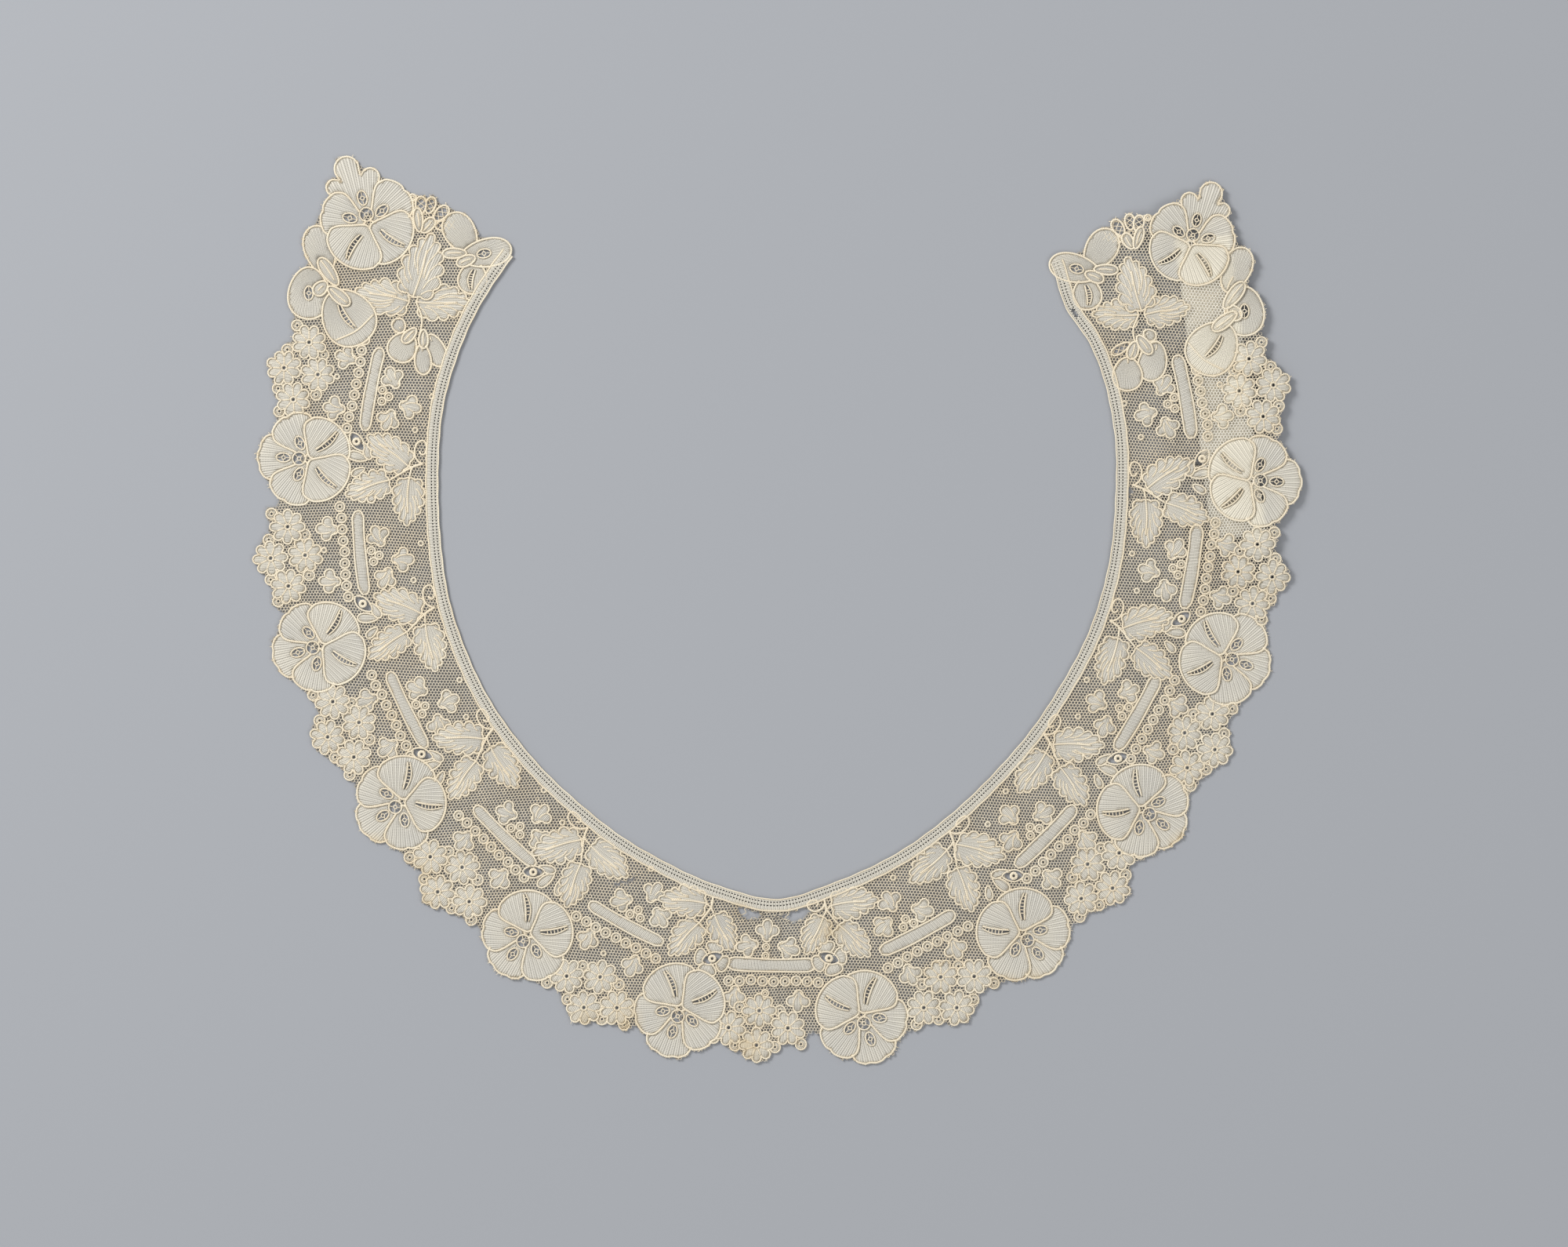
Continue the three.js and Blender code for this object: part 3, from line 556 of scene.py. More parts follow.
def filling(part, place, outline, level, dome=0.08, cutters=(), holes=(), rows=0.0, tone=0.0,
            spacing=GRAIN, fall=1.2, root=None):
    """A stitched filling in an outline in u, v, clear of cutters in x, y. Its rows turn to rows
    degrees, and spread from behind the root where one is given."""
    edge = place(resample(outline, STEP, True))
    holes = [place(resample(h, STEP * 0.8, True)) for h in holes]
    near = [c for c in cutters if overlaps(edge, c)]
    loops = [edge, *holes, *near]
    lo, hi = edge.min(0), edge.max(0)
    lines = np.arange(lo[1], hi[1], spacing * 0.866)
    starts = [lo[0] + (k % 2) * spacing / 2 for k in range(len(lines))]
    grid = [np.arange(start, hi[0], spacing) for start in starts]
    grid = np.concatenate([np.stack([x, np.full_like(x, y)], 1) for x, y in zip(grid, lines)])
    grid = grid[inside(grid, edge)]
    grid = grid[off_edge(grid, loops) > spacing * 0.4]
    points, edges = [], []
    for loop in loops:
        start = len(points)
        points += [Vector(p) for p in loop]
        edges += [(start + i, start + (i + 1) % len(loop)) for i in range(len(loop))]
    points += [Vector(p) for p in grid]
    found = delaunay_2d_cdt(points, edges, [], 0, 1e-5, False)
    xy = np.array([tuple(p) for p in found[0]], float)
    faces = np.array([tuple(f) for f in found[2]], int)
    middle = xy[faces].mean(1)
    keep = inside(middle, edge)
    for loop in loops[1:]:
        keep &= ~inside(middle, loop)
    faces = faces[keep]
    if not len(faces):
        return
    area = signed_area(xy, faces)
    faces = np.where((area < 0)[:, None], faces[:, ::-1], faces)
    part.plan_area += abs(area).sum()
    used, faces = np.unique(faces, return_inverse=True)
    faces = faces.reshape(-1, 3)
    xy = xy[used]
    rise = np.clip(off_edge(xy, loops) / fall, 0, 1)
    z = level + dome * (1 - (1 - rise) ** 2)
    way = heading(rows) @ np.stack([place.away, place.out])
    way /= np.linalg.norm(way)
    back = ROW_SPREAD if root is not None else 10 * ROW_SPREAD
    rel = xy - (edge.mean(0) if root is None else place(np.array(root, float))) + way * back
    angle = np.arctan2(way[0] * rel[:, 1] - way[1] * rel[:, 0], rel @ way)
    stitch = [angle * (back + 6), np.linalg.norm(rel, axis=1), np.clip(tone + over_tape(xy), 0, 1)]
    shell(part, raised(xy, z), faces, np.stack(stitch, 1))


def signed_area(xy, faces):
    a, b, c = (xy[faces[:, k]] for k in range(3))
    return ((b[:, 0] - a[:, 0]) * (c[:, 1] - a[:, 1]) - (c[:, 0] - a[:, 0]) * (b[:, 1] - a[:, 1])) / 2


def overlaps(a, b):
    return bool(np.all(a.min(0) < b.max(0)) and np.all(b.min(0) < a.max(0)))


def tube(part, line, radius, sides=5, closed=False):
    """A round cord along points x, y, z."""
    count = len(line)
    if closed:
        run = np.roll(line, -1, 0) - np.roll(line, 1, 0)
    else:
        run = np.gradient(line, axis=0)
    run = run[:, :2] / np.maximum(np.linalg.norm(run[:, :2], axis=1), 1e-9)[:, None]
    normal = np.stack([-run[:, 1], run[:, 0], 0 * run[:, 0]], 1)
    a = np.arange(sides) * TAU / sides + TAU / 4
    outward = np.cos(a)[None, :, None] * normal[:, None] + np.sin(a)[None, :, None] * np.array([0, 0, 1.0])
    rings = line[:, None] + radius * outward
    length = np.concatenate([[0], np.cumsum(np.linalg.norm(np.diff(line, axis=0), axis=1))])
    stitch = np.zeros((count, sides, 3))
    stitch[..., 0] = length[:, None]
    stitch[..., 1] = (a - TAU / 4)[None]
    stitch[..., 2] = rng.random()
    i = np.arange(count if closed else count - 1)[:, None]
    j = np.arange(sides)[None]
    here, there = i * sides, ((i + 1) % count) * sides
    k = (j + 1) % sides
    faces = np.concatenate(
        [
            np.stack([here + j, there + j, here + k], 2).reshape(-1, 3),
            np.stack([here + k, there + j, there + k], 2).reshape(-1, 3),
        ]
    )
    points, stitch = rings.reshape(-1, 3), stitch.reshape(-1, 3)
    if not closed:
        caps = np.arange(1, sides - 1)
        start = np.stack([0 * caps, caps, caps + 1], 1)
        end = np.stack([0 * caps, caps + 1, caps], 1) + (count - 1) * sides
        faces = np.concatenate([faces, start, end])
    part.add(points, faces, stitch)


def cord(part, place, line, level, radius=CORD, closed=False, cutters=(), sides=5, step=STEP,
         smoothed=False):
    """A cord on a line in u, v, left out where it would lie in a cutter."""
    line = smooth(line, closed) if smoothed else np.asarray(line, float)
    path = place(resample(line, step, closed))
    near = [c for c in cutters if overlaps(path, c)]
    hidden = np.zeros(len(path), bool)
    for loop in near:
        hidden |= inside(path, loop)
    path = raised(path, level)
    if not hidden.any():
        tube(part, path, radius, sides, closed)
        return
    if hidden.all():
        return
    if closed:
        start = int(np.argmax(hidden))
        path, hidden = np.roll(path, -start, 0), np.roll(hidden, -start)
        path, hidden = np.concatenate([path, path[:1]]), np.concatenate([hidden, hidden[:1]])
    shown = np.flatnonzero(~hidden)
    for run in np.split(shown, np.flatnonzero(np.diff(shown) > 1) + 1):
        first, last = max(run[0] - 1, 0), min(run[-1] + 1, len(path) - 1)
        if last - first >= 2:
            tube(part, path[first : last + 1], radius, sides)


def hem(part, place, outline, level, cutters, radius=CORD, step=STEP):
    """The cord that edges a filling."""
    cord(part, place, outline, level + PROUD, radius, closed=True, cutters=cutters, step=step)


# ---- materials ----
class Nodes:
    """Short calls for a material's node tree."""

    def __init__(self, name):
        self.material = bpy.data.materials.new(name)
        self.material.use_nodes = True
        self.tree = self.material.node_tree
        self.shader = self.tree.nodes["Principled BSDF"]

    def add(self, kind, **values):
        node = self.tree.nodes.new(kind)
        for key, value in values.items():
            setattr(node, key, value)
        return node

    def link(self, start, end):
        self.tree.links.new(start, end)

    def math(self, operation, *inputs):
        node = self.add("ShaderNodeMath", operation=operation)
        for socket, value in zip(node.inputs, inputs):
            if isinstance(value, (int, float)):
                socket.default_value = value
            else:
                self.link(value, socket)
        return node.outputs[0]

    def stitch(self):
        """The three parts of the stitch attribute."""
        attribute = self.add("ShaderNodeAttribute", attribute_name="stitch")
        parts = self.add("ShaderNodeSeparateXYZ")
        self.link(attribute.outputs["Vector"], parts.inputs[0])
        return parts.outputs

    def noise(self, scale, detail=2.0):
        place = self.add("ShaderNodeTexCoord")
        noise = self.add("ShaderNodeTexNoise")
        noise.inputs["Scale"].default_value = scale
        noise.inputs["Detail"].default_value = detail
        self.link(place.outputs["Object"], noise.inputs["Vector"])
        return noise.outputs["Fac"]

    def ramp(self, factor, *stops):
        """A colour between two stops."""
        ramp = self.add("ShaderNodeValToRGB")
        for element, (at, colour) in zip(ramp.color_ramp.elements, stops):
            element.position = at
            element.color = (*colour, 1)
        self.link(factor, ramp.inputs[0])
        return ramp.outputs[0]

    def mix(self, factor, one, other):
        node = self.add("ShaderNodeMix", data_type="RGBA")
        for socket, value in ((node.inputs[0], factor), (node.inputs[6], one), (node.inputs[7], other)):
            if isinstance(value, tuple):
                socket.default_value = (*value, 1)
            else:
                self.link(value, socket)
        return node.outputs[2]

    def stained(self, colour):
        """The colour, browner at the stains."""
        place = self.add("ShaderNodeTexCoord")
        amount = 0.0
        for x, y, radius in STAINS:
            gap = self.add("ShaderNodeVectorMath", operation="DISTANCE")
            gap.inputs[1].default_value = (x * MM, y * MM, 0)
            self.link(place.outputs["Object"], gap.inputs[0])
            near = self.math("SUBTRACT", 1.0, self.math("DIVIDE", gap.outputs["Value"], radius * MM))
            amount = self.math("MAXIMUM", amount, near)
        patch = self.math("MULTIPLY", amount, self.math("MULTIPLY", self.noise(420.0), 1.1))
        return self.mix(patch, colour, STAIN)

    def finish(self, colour, height, strength, distance):
        bump = self.add("ShaderNodeBump")
        bump.inputs["Strength"].default_value = strength
        bump.inputs["Distance"].default_value = distance
        self.link(height, bump.inputs["Height"])
        self.link(bump.outputs[0], self.shader.inputs["Normal"])
        self.link(colour, self.shader.inputs["Base Color"])
        self.shader.inputs["Roughness"].default_value = ROUGHNESS
        self.shader.inputs["Sheen Weight"].default_value = SHEEN
        self.shader.inputs["Specular IOR Level"].default_value = SPECULAR
        return self.material


ROUGHNESS, SHEEN, SPECULAR = 0.85, 0.15, 0.25
CREAM = (0.89, 0.77, 0.57)
CREAM_PALE = (0.96, 0.87, 0.69)
# painted shade: the colour of the grooves between a cord's plies
CREAM_GROOVE_SHADE = (0.58, 0.45, 0.28)
STAIN = (0.70, 0.56, 0.34)
TOILE_PALE = (0.68, 0.65, 0.58)
TOILE_MID = (0.78, 0.73, 0.62)
TOILE_DENSE = (0.93, 0.86, 0.70)
# painted shade: the colour of the toile's row grooves and pinholes
TOILE_SHADE = (0.24, 0.22, 0.18)
NET_PALE = (0.79, 0.71, 0.56)
# painted light: the net's threads over the label tape, brightened against the shade there
NET_LIT_OVER_TAPE = (0.97, 0.92, 0.80)  # over the label tape
# painted shade: the colour of the grooves between the net thread's plies
NET_GROOVE_SHADE = (0.44, 0.37, 0.27)
LABEL_PALE = (0.98, 0.94, 0.84)
# the tape's darker tone, and the colour of its painted shade where the weave dips
LABEL_TONE_AND_SHADE = (0.91, 0.85, 0.72)
FLOOR_GREY = (0.35, 0.36, 0.38)
SKY = (0.95, 0.97, 1.0)


def thread_material(name, pale, mid, shade_colour, share=0.6):
    """A twisted thread: plies that wind round it with painted shade in the grooves between them, and slow
    changes of tone, which on the net are painted light over the label tape.
    """
    n = Nodes(name)
    along, angle, tone = n.stitch()
    ply = n.math("SINE", n.math("ADD", n.math("MULTIPLY", along, TAU / PLY_LENGTH), angle))
    colour = n.ramp(n.noise(70.0, 3.0), (0.3, CREAM), (0.62, pale))
    # for the cords the tone is random; for the net it marks the label tape, where this colour is painted
    # light
    colour = n.mix(n.math("MULTIPLY", tone, share), colour, mid)
    # painted shade: the grooves between the plies are darkened in colour
    groove_shade = n.math("MULTIPLY", n.math("SUBTRACT", 1.0, n.math("MULTIPLY_ADD", ply, 0.5, 0.5)), 0.28)
    colour = n.mix(groove_shade, colour, shade_colour)
    return n.finish(n.stained(colour), ply, 0.5, 0.0001)


def toile_material():
    """Rows of buttonhole stitch with a pinhole between each two stitches, with painted shade in the
    grooves between the rows and in the pinholes.
    """
    n = Nodes("lace_toile")
    across, along, tone = n.stitch()
    row = n.math("SINE", n.math("MULTIPLY", across, TAU / ROW_PITCH))
    hole = n.math("SINE", n.math("MULTIPLY", along, TAU / STITCH_PITCH))
    valley = n.math("MAXIMUM", n.math("MULTIPLY", row, -1.0), 0.0)
    pin = n.math("MULTIPLY", valley, n.math("MAXIMUM", hole, 0.0))
    colour = n.mix(tone, n.ramp(n.noise(90.0, 3.0), (0.3, TOILE_PALE), (0.75, TOILE_MID)), TOILE_DENSE)
    # painted shade in the grooves between the rows
    pair = n.math("SINE", n.math("MULTIPLY", across, TAU / ROW_PITCH / 2))
    groove_shade = n.math("MULTIPLY_ADD", n.math("ADD", row, pair), -0.11, 0.22)
    colour = n.mix(groove_shade, colour, TOILE_SHADE)
    # painted shade in the pinholes, less of it where the tone is higher, as over the label tape
    through = n.math("MULTIPLY", pin, n.math("MULTIPLY_ADD", tone, -0.5, 0.8))
    colour = n.mix(through, colour, TOILE_SHADE)
    return n.finish(n.stained(colour), n.math("SUBTRACT", row, pin), 0.6, 0.00012)


def label_material():
    """A plain woven tape, with painted shade where the weave dips."""
    n = Nodes("label_weave")
    across, along, _ = n.stitch()
    warp = n.math("SINE", n.math("MULTIPLY", across, TAU / WEAVE_PITCH))
    weft = n.math("SINE", n.math("MULTIPLY", along, TAU / WEAVE_PITCH))
    weave = n.math("MULTIPLY", warp, weft)
    colour = n.ramp(n.noise(60.0, 4.0), (0.3, LABEL_TONE_AND_SHADE), (0.65, LABEL_PALE))
    # painted shade: the weave's low places are darkened in colour
    colour = n.mix(n.math("MULTIPLY", n.math("MULTIPLY_ADD", weave, -0.5, 0.5), 0.25), colour, LABEL_TONE_AND_SHADE)
    return n.finish(colour, weave, 0.4, 0.0001)


CORD_MATERIAL = thread_material("cord_thread", CREAM_PALE, CREAM, CREAM_GROOVE_SHADE)
NET_MATERIAL = thread_material("net_thread", NET_PALE, NET_LIT_OVER_TAPE, NET_GROOVE_SHADE, 1.0)
TOILE_MATERIAL = toile_material()
LABEL_MATERIAL = label_material()

laid = []  # outlines in x, y that are taken, in order
NETS = ["net_left_end", "net_left", "net_right", "net_right_end"]


def publish(name, cloth, threads, place):
    piece = cloth.build(name + "_lace", TOILE_MATERIAL)
    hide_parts(name)
    cords = threads.build(name + "_cords", CORD_MATERIAL)
    points = np.concatenate(cloth.points)[:, :2] - place.point
    spans = [np.ptp(points @ (axis / np.linalg.norm(axis))) * MM for axis in (place.away, place.out)]
    area = cloth.plan_area * MM * MM
    flat = (max(spans[0], LEAST_SIDE), max(spans[1], LEAST_SIDE))
    area = min(max(area, LEAST_SHARE * flat[0] * flat[1]), flat[0] * flat[1])


# ---- motifs ----
class Petal:
    """A petal's outline in u, v, its root, and what is worked in it."""

    def __init__(self, outline, u, v, turn, level, mark, start, end):
        self.outline = turned(outline, u, v, turn)
        self.root, self.turn, self.level = (u, v), turn, level
        self.mark, self.start, self.end = mark, start, end

    def at(self, ahead_across):
        return turned(np.asarray(ahead_across, float), *self.root, self.turn)


def spread_petals(rows):
    """Petals round the hub, each a little different."""
    return [
        Petal(
            sector(spread, reach * rng.uniform(0.97, 1.03), dents),
            *HUB, turn + rng.uniform(-2, 2), level, mark, start * rng.uniform(0.94, 1.06), end,
        )
        for turn, spread, reach, dents, level, mark, start, end in rows
    ]


def round_petals(rows):
    return [
        Petal(egg(long, wide), u, v, turn, level, mark, start, end)
        for u, v, turn, long, wide, level, mark, start, end in rows
    ]


def petal_slit(threads, place, petal):
    """A ladder slit along a petal: two cords with bars across."""
    share = np.linspace(0, 1, 9)
    ahead = petal.start + (petal.end - petal.start) * share
    bow = 0.6 * np.sin(share * math.pi)
    half = 0.28 + 0.42 * np.sin(np.clip(0.08 + share * 0.9, 0, 1) * math.pi)
    one = petal.at(np.stack([ahead, bow + half], 1))
    other = petal.at(np.stack([ahead, bow - half], 1))
    for line, radius in ((one, 0.2), (other, 0.25)):
        cord(threads, place, line, petal.level + 0.2, radius, smoothed=True)
    for k in range(2, 8):
        cord(threads, place, np.stack([one[k], other[k]]), petal.level + 0.08, THREAD, step=0.4, sides=4)
    return [np.concatenate([one, other[::-1]])]


def petal_eye(threads, place, petal):
    """A pointed eyelet with a ring held in it."""
    a = np.linspace(0, TAU, 17)[:-1]
    ahead = petal.start + 2.05 * np.cos(a)
    outline = petal.at(np.stack([ahead, 1.28 * np.sin(a) * abs(np.sin(a)) ** 0.2], 1))
    cord(threads, place, outline, petal.level + 0.16, VEIN, closed=True, step=0.55)
    centre = petal.at([(petal.start, 0)])[0]
    cord(threads, place, ring(*centre, 0.52, 10), petal.level + 0.12, 0.15, closed=True, step=0.32)
    for side in (-1, 1):
        for start, end in (((0, 0.6), (0, 1.2)), ((0.6, 0), (1.9, 0))):
            arm = petal.at([(petal.start + side * ahead, side * across) for ahead, across in (start, end)])
            cord(threads, place, arm, petal.level + 0.08, FINE, step=0.3, sides=4)
    return [outline]


def petal_vein(threads, place, petal):
    line = petal.at([(petal.start, 0), ((petal.start + petal.end) / 2, 0.15), (petal.end, 0)])
    cord(threads, place, line, petal.level + 0.14, VEIN, smoothed=True)
    return []


def petal_fold(threads, place, petal):
    """A slit that runs to a fold near the petal's end."""
    fold = petal.at([(petal.end - 0.2, -6.4), (petal.end + 0.9, 0), (petal.end - 0.1, 6.3)])
    cord(threads, place, fold, petal.level + 0.16, 0.24, smoothed=True)
    return petal_slit(threads, place, petal)


def petal_mesh(threads, place, petal):
    """A loop of cord round open crossed threads."""
    axes = np.stack([heading(petal.turn), heading(petal.turn + 90)], 1)
    long, wide = np.ptp((petal.outline - petal.root) @ axes, axis=0)
    for share in (-0.5, -0.2, 0.1, 0.4):
        for lean in (-0.35, 0.35):
            ends = [(long * (share + lean * end), wide * 0.8 * end) for end in (-0.5, 0.5)]
            cord(threads, place, petal.at(ends), petal.level, FINE, step=0.6, sides=4)
    return [petal.root + (petal.outline - petal.root) * 0.86]


def petal_ring(threads, place, petal):
    cord(threads, place, ring(*petal.root, 0.42, 8), petal.level + 0.12, 0.18, closed=True, step=0.35)
    return [ring(*petal.root, 0.3, 8)]


def petal_plain(threads, place, petal):
    return []


MARKS = {
    "slit": petal_slit, "fold": petal_fold, "eye": petal_eye, "vein": petal_vein, "mesh": petal_mesh,
    "ring": petal_ring, "plain": petal_plain,
}


def bloom(name, place, petals, hole=None):
    """Petals laid over each other, each edged with a cord."""
    cloth, threads = Part(), Part()
    above = list(laid)
    opening = [] if hole is None else [ring(*hole, CENTRE_REACH, 16)]
    for petal in petals:
        holes = MARKS[petal.mark](threads, place, petal)
        filling(
            cloth, place, petal.outline, petal.level, cutters=above, holes=holes + opening,
            rows=petal.turn + rng.uniform(-8, 8), tone=0.22 * rng.random(), root=petal.root,
        )
        blocked = above + [place(h) for h in opening]
        hem(threads, place, petal.outline, petal.level, blocked)
        above.append(place(petal.outline))
    for outline in opening:
        top = petals[0].level
        cord(threads, place, outline, top, VEIN, closed=True, step=0.55)
        cord(threads, place, ring(*hole, 0.5, 10), top, 0.17, closed=True, step=0.32)
        for turn in (45, 135, 225, 315):
            arm = np.array([hole + heading(turn) * 0.55, hole + heading(turn) * 1.6])
            cord(threads, place, arm, top - 0.04, FINE, step=0.4, sides=4)
    laid.extend(above[len(laid):])
    publish(name, cloth, threads, place)


def spurs(threads, place, notches, at, level, above, share):
    """Cords in from the notches, part of the way to the foot."""
    u, v, turn = at
    for notch in notches:
        inward = -notch * share * rng.uniform(0.75, 1.25)
        side = np.array([-inward[1], inward[0]]) * 0.1
        line = np.array([notch, notch + inward * 0.5 + side, notch + inward])
        cord(threads, place, turned(line, u, v, turn), level, 0.19, cutters=above, smoothed=True, sides=4)


def leaf(cloth, threads, place, u, v, turn, long, level, above, share):
    """A lobed leaf, with a cord in from each notch and a rib."""
    lobes = [(ahead, across * side, reach) for side in (-1, 1) for ahead, across, reach in LEAF_LOBES]
    flat, notches = lobed(LEAF_PALM, lobes, 0.45, long)
    outline = turned(flat, u, v, turn)
    filling(cloth, place, outline, level, cutters=above, rows=turn, tone=0.25 * rng.random(), root=(u, v))
    hem(threads, place, outline, level, above, 0.25, 0.6)
    rib = np.array([(-0.2, 0), (0.35 * long, 0.3), (0.74 * long, -0.1)])
    cord(threads, place, turned(rib, u, v, turn), level + 0.16, 0.24, cutters=above, smoothed=True)
    spurs(threads, place, notches, (u, v, turn), level + 0.12, above, share)
    return outline


def spray(name, place, leaves, stems, share=0.4):
    """Leaves laid over each other, and the stems that lead to them."""
    cloth, threads = Part(), Part()
    above = list(laid)
    for k, (u, v, turn, long) in enumerate(leaves):
        level = LEAF_LEVEL - LAYER * k
        above.append(place(leaf(cloth, threads, place, u, v, turn, long, level, above, share)))
    for line in stems:
        cord(threads, place, line, STEM_LEVEL, 0.27, cutters=laid, smoothed=True)
    laid.extend(above[len(laid):])
    publish(name, cloth, threads, place)


def floret(cloth, threads, place, u, v, level, above):
    """Eight petals round a small ring."""
    spin = rng.uniform(0, 45)
    pitch = 360 / FLORET["fingers"]
    rows = [
        (spin + pitch * k, FLORET["reach"] * rng.uniform(0.96, 1.03), FLORET["round"])
        for k in range(FLORET["fingers"])
    ]
    flat, notches = fan(rows, 0.2, closed=True)
    outline = turned(flat, u, v, 0)
    filling(cloth, place, outline, level, 0.1, above, [ring(u, v, 0.5, 8)], 0, 0.3, spacing=1.7, fall=0.9)
    hem(threads, place, outline, level, above, 0.24, 0.66)
    for notch in notches:
        inward = turned(np.array([notch, notch * 0.95 / np.linalg.norm(notch)]), u, v, 0)
        cord(threads, place, inward, level + 0.1, 0.2, cutters=above, sides=4)
    cord(threads, place, ring(u, v, 0.8, 10), level + 0.16, 0.24, closed=True, cutters=above, step=0.5)
    return outline


def small_ring(cloth, threads, place, u, v, radius, level, above, hole=0.4):
    """A worked ring with a hole in it."""
    outline = ring(u, v, radius, 14)
    filling(cloth, place, outline, level, 0.02, above, [ring(u, v, hole, 8)], tone=0.3, spacing=3.0)
    hem(threads, place, outline, level, above, 0.24, 0.62)
    if radius > 0.9:
        lip = ring(u, v, hole + 0.14, 8)
        cord(threads, place, lip, level + 0.14, 0.17, closed=True, cutters=above, step=0.42)
    return outline


def net_rings(cloth, threads, place, spots, radius, hole):
    """Single rings on the net."""
    for u, v in spots:
        laid.append(place(small_ring(cloth, threads, place, u, v, radius, WORKED, laid, hole)))


def posy(name, place):
    """A group of florets with ringlets round them."""
    cloth, threads = Part(), Part()
    above = list(laid)
    for k, (u, v) in enumerate(FLORETS):
        above.append(place(floret(cloth, threads, place, u, v, FLORET_LEVEL - LAYER * k, above)))
    for u, v in RINGLETS:
        above.append(place(small_ring(cloth, threads, place, u, v, RINGLET_RADIUS, RINGLET_LEVEL, above)))
    laid.extend(above[len(laid):])
    publish(name, cloth, threads, place)


def bar(name, place, long, wide):
    """A narrow bar of stitches with a slight bow."""
    cloth, threads = Part(), Part()
    t = np.linspace(0, 1, 25)
    sag = BAR_BOW * (1 - (2 * t - 1) ** 2)
    half = wide / 2 * np.minimum(1, 0.42 + 10 * t * (1 - t)) * (1 + 0.04 * np.sin(9 * t + long))
    u = (t - 0.5) * long
    outline = np.concatenate([np.stack([u, sag + half], 1), np.stack([u, sag - half], 1)[::-1]])
    filling(cloth, place, outline, BAR_LEVEL, cutters=laid, rows=12, tone=0.1)
    hem(threads, place, outline, BAR_LEVEL, laid, 0.26)
    laid.append(place(outline))
    publish(name, cloth, threads, place)


def trefoil(cloth, threads, place, u, v, turn, above):
    """Three round lobes from a short foot."""
    flat, notches = lobed(TREFOIL_PALM, TREFOIL_LOBES, 2.8)
    foot = np.array([u, v]) - heading(turn) * TREFOIL_REACH / 2
    outline = turned(flat, *foot, turn)
    filling(cloth, place, outline, WORKED, cutters=above, rows=turn, tone=0.25 * rng.random(), spacing=1.7)
    hem(threads, place, outline, WORKED, above, 0.25, 0.55)
    spurs(threads, place, notches, (*foot, turn), WORKED + 0.12, above, 0.62)
    return outline


def leaflet(cloth, threads, place, u, v, turn, long, wide):
    """A small pointed leaf."""
    t = np.linspace(0, TAU, 25)[:-1]
    flat = np.stack([long * np.cos(t), wide * np.sin(t) * (1 + 0.3 * np.cos(t))], 1)
    outline = turned(flat, u, v, turn)
    filling(cloth, place, outline, WORKED, cutters=laid, rows=turn, tone=0.2, spacing=1.7)
    hem(threads, place, outline, WORKED, laid, 0.24, 0.6)
    laid.append(place(outline))


# ---- laying the collar out ----
SIDE_NAME = {-1: "left", 1: "right"}
PETALS = {
    "end_flower": spread_petals(FLOWER),
    "corner_bloom": round_petals(CORNER_BLOOM),
    "edge_sprig": round_petals(EDGE_SPRIG),
}
SIDED = {
    "profile": {-1: round_petals(PROFILE_LEFT), 1: round_petals(PROFILE_RIGHT)},
    "bud_bloom": {-1: round_petals(BUD_LEFT), 1: round_petals(BUD_RIGHT)},
}
tip_outline, _ = fan(TIP_FINGERS, 0.1, base=[(2, 1.5), (2, -1.5)])
PETALS["end_flower"][-1] = Petal(tip_outline, *HUB, 0, 0.22, "eye", 6.9, 0)

numbered = []
counts = {-1: 0, 1: 0}
for side, flower_at, spray_at, posy_at, bar_at in REPEATS:
    counts[side] += 1
    numbered.append((f"{SIDE_NAME[side]}_{counts[side]}", side, flower_at, spray_at, posy_at, bar_at))

for label, side, flower_at, *_ in numbered:
    bloom("flower_" + label, place_at(side, flower_at), spread_petals(FLOWER), CENTRE_HOLE)
for side, piece, x, y, facing, size in ENDS:
    if piece == "end_leaf":
        continue
    petals = SIDED[piece][side] if piece in SIDED else PETALS[piece]
    hole = CENTRE_HOLE if piece == "end_flower" else None
    bloom(f"{piece}_{SIDE_NAME[side]}", place_end(side, x, y, facing, size), petals, hole)
for label, side, _, spray_at, *_ in numbered:
    leaves = FIRST_LEAVES if label.endswith("_1") else LEAVES
    node, fork = (0.0, -0.8), (leaves[2][0] * 0.25, 2.2)
    stems = [np.array([node, fork, (u, v)]) for u, v, _, _ in leaves]
    curl_side = CURL_SIDE.get(label, 1)
    if curl_side:
        stems.append(np.array([node, *(CURL * [curl_side, 1])]))
    spray("leaf_spray_" + label, place_at(side, spray_at), leaves, stems)
for side, piece, x, y, facing, size in ENDS:
    if piece == "end_leaf":
        stem = np.array([(0.2, -0.8), (-3.2, -4.6), (-8.2, -6.4)])
        spray(f"{piece}_{SIDE_NAME[side]}", place_end(side, x, y, facing, size), END_LEAF, [stem], 0.55)
for label, side, *_, posy_at, _ in numbered:
    posy("posy_" + label, place_at(side, posy_at))
posy("posy_centre", place_at(1, CENTRE_POSY))
# Couronnes: a thick ring in an eye of cord, with pointed leaflets beside it.
relief = {-1: (Part(), Part()), 1: (Part(), Part())}
for side, places in COURONNES.items():
    cloth, threads = relief[side]
    for k, couronne_at in enumerate(places):
        at = place_at(side, couronne_at)
        eye = smooth(EYE, True)
        cord(threads, at, eye, 0.5, 0.24, closed=True, cutters=laid)
        cord(threads, at, ring(0, 0, COURONNE["reach"]), 0.66, COURONNE["radius"], True, step=0.5, sides=6)
        laid.append(at(eye))
        for row in LEAFLETS if k else MIDDLE_LEAFLETS:
            leaflet(cloth, threads, at, *row)

for label, side, *_, bar_at in numbered:
    bar("bar_" + label, place_at(side, bar_at), BAR_LONG, BAR_WIDE[side])
bar("bar_centre", place_at(1, CENTRE_BAR), BAR_CENTRE_LONG, BAR_WIDE[1])

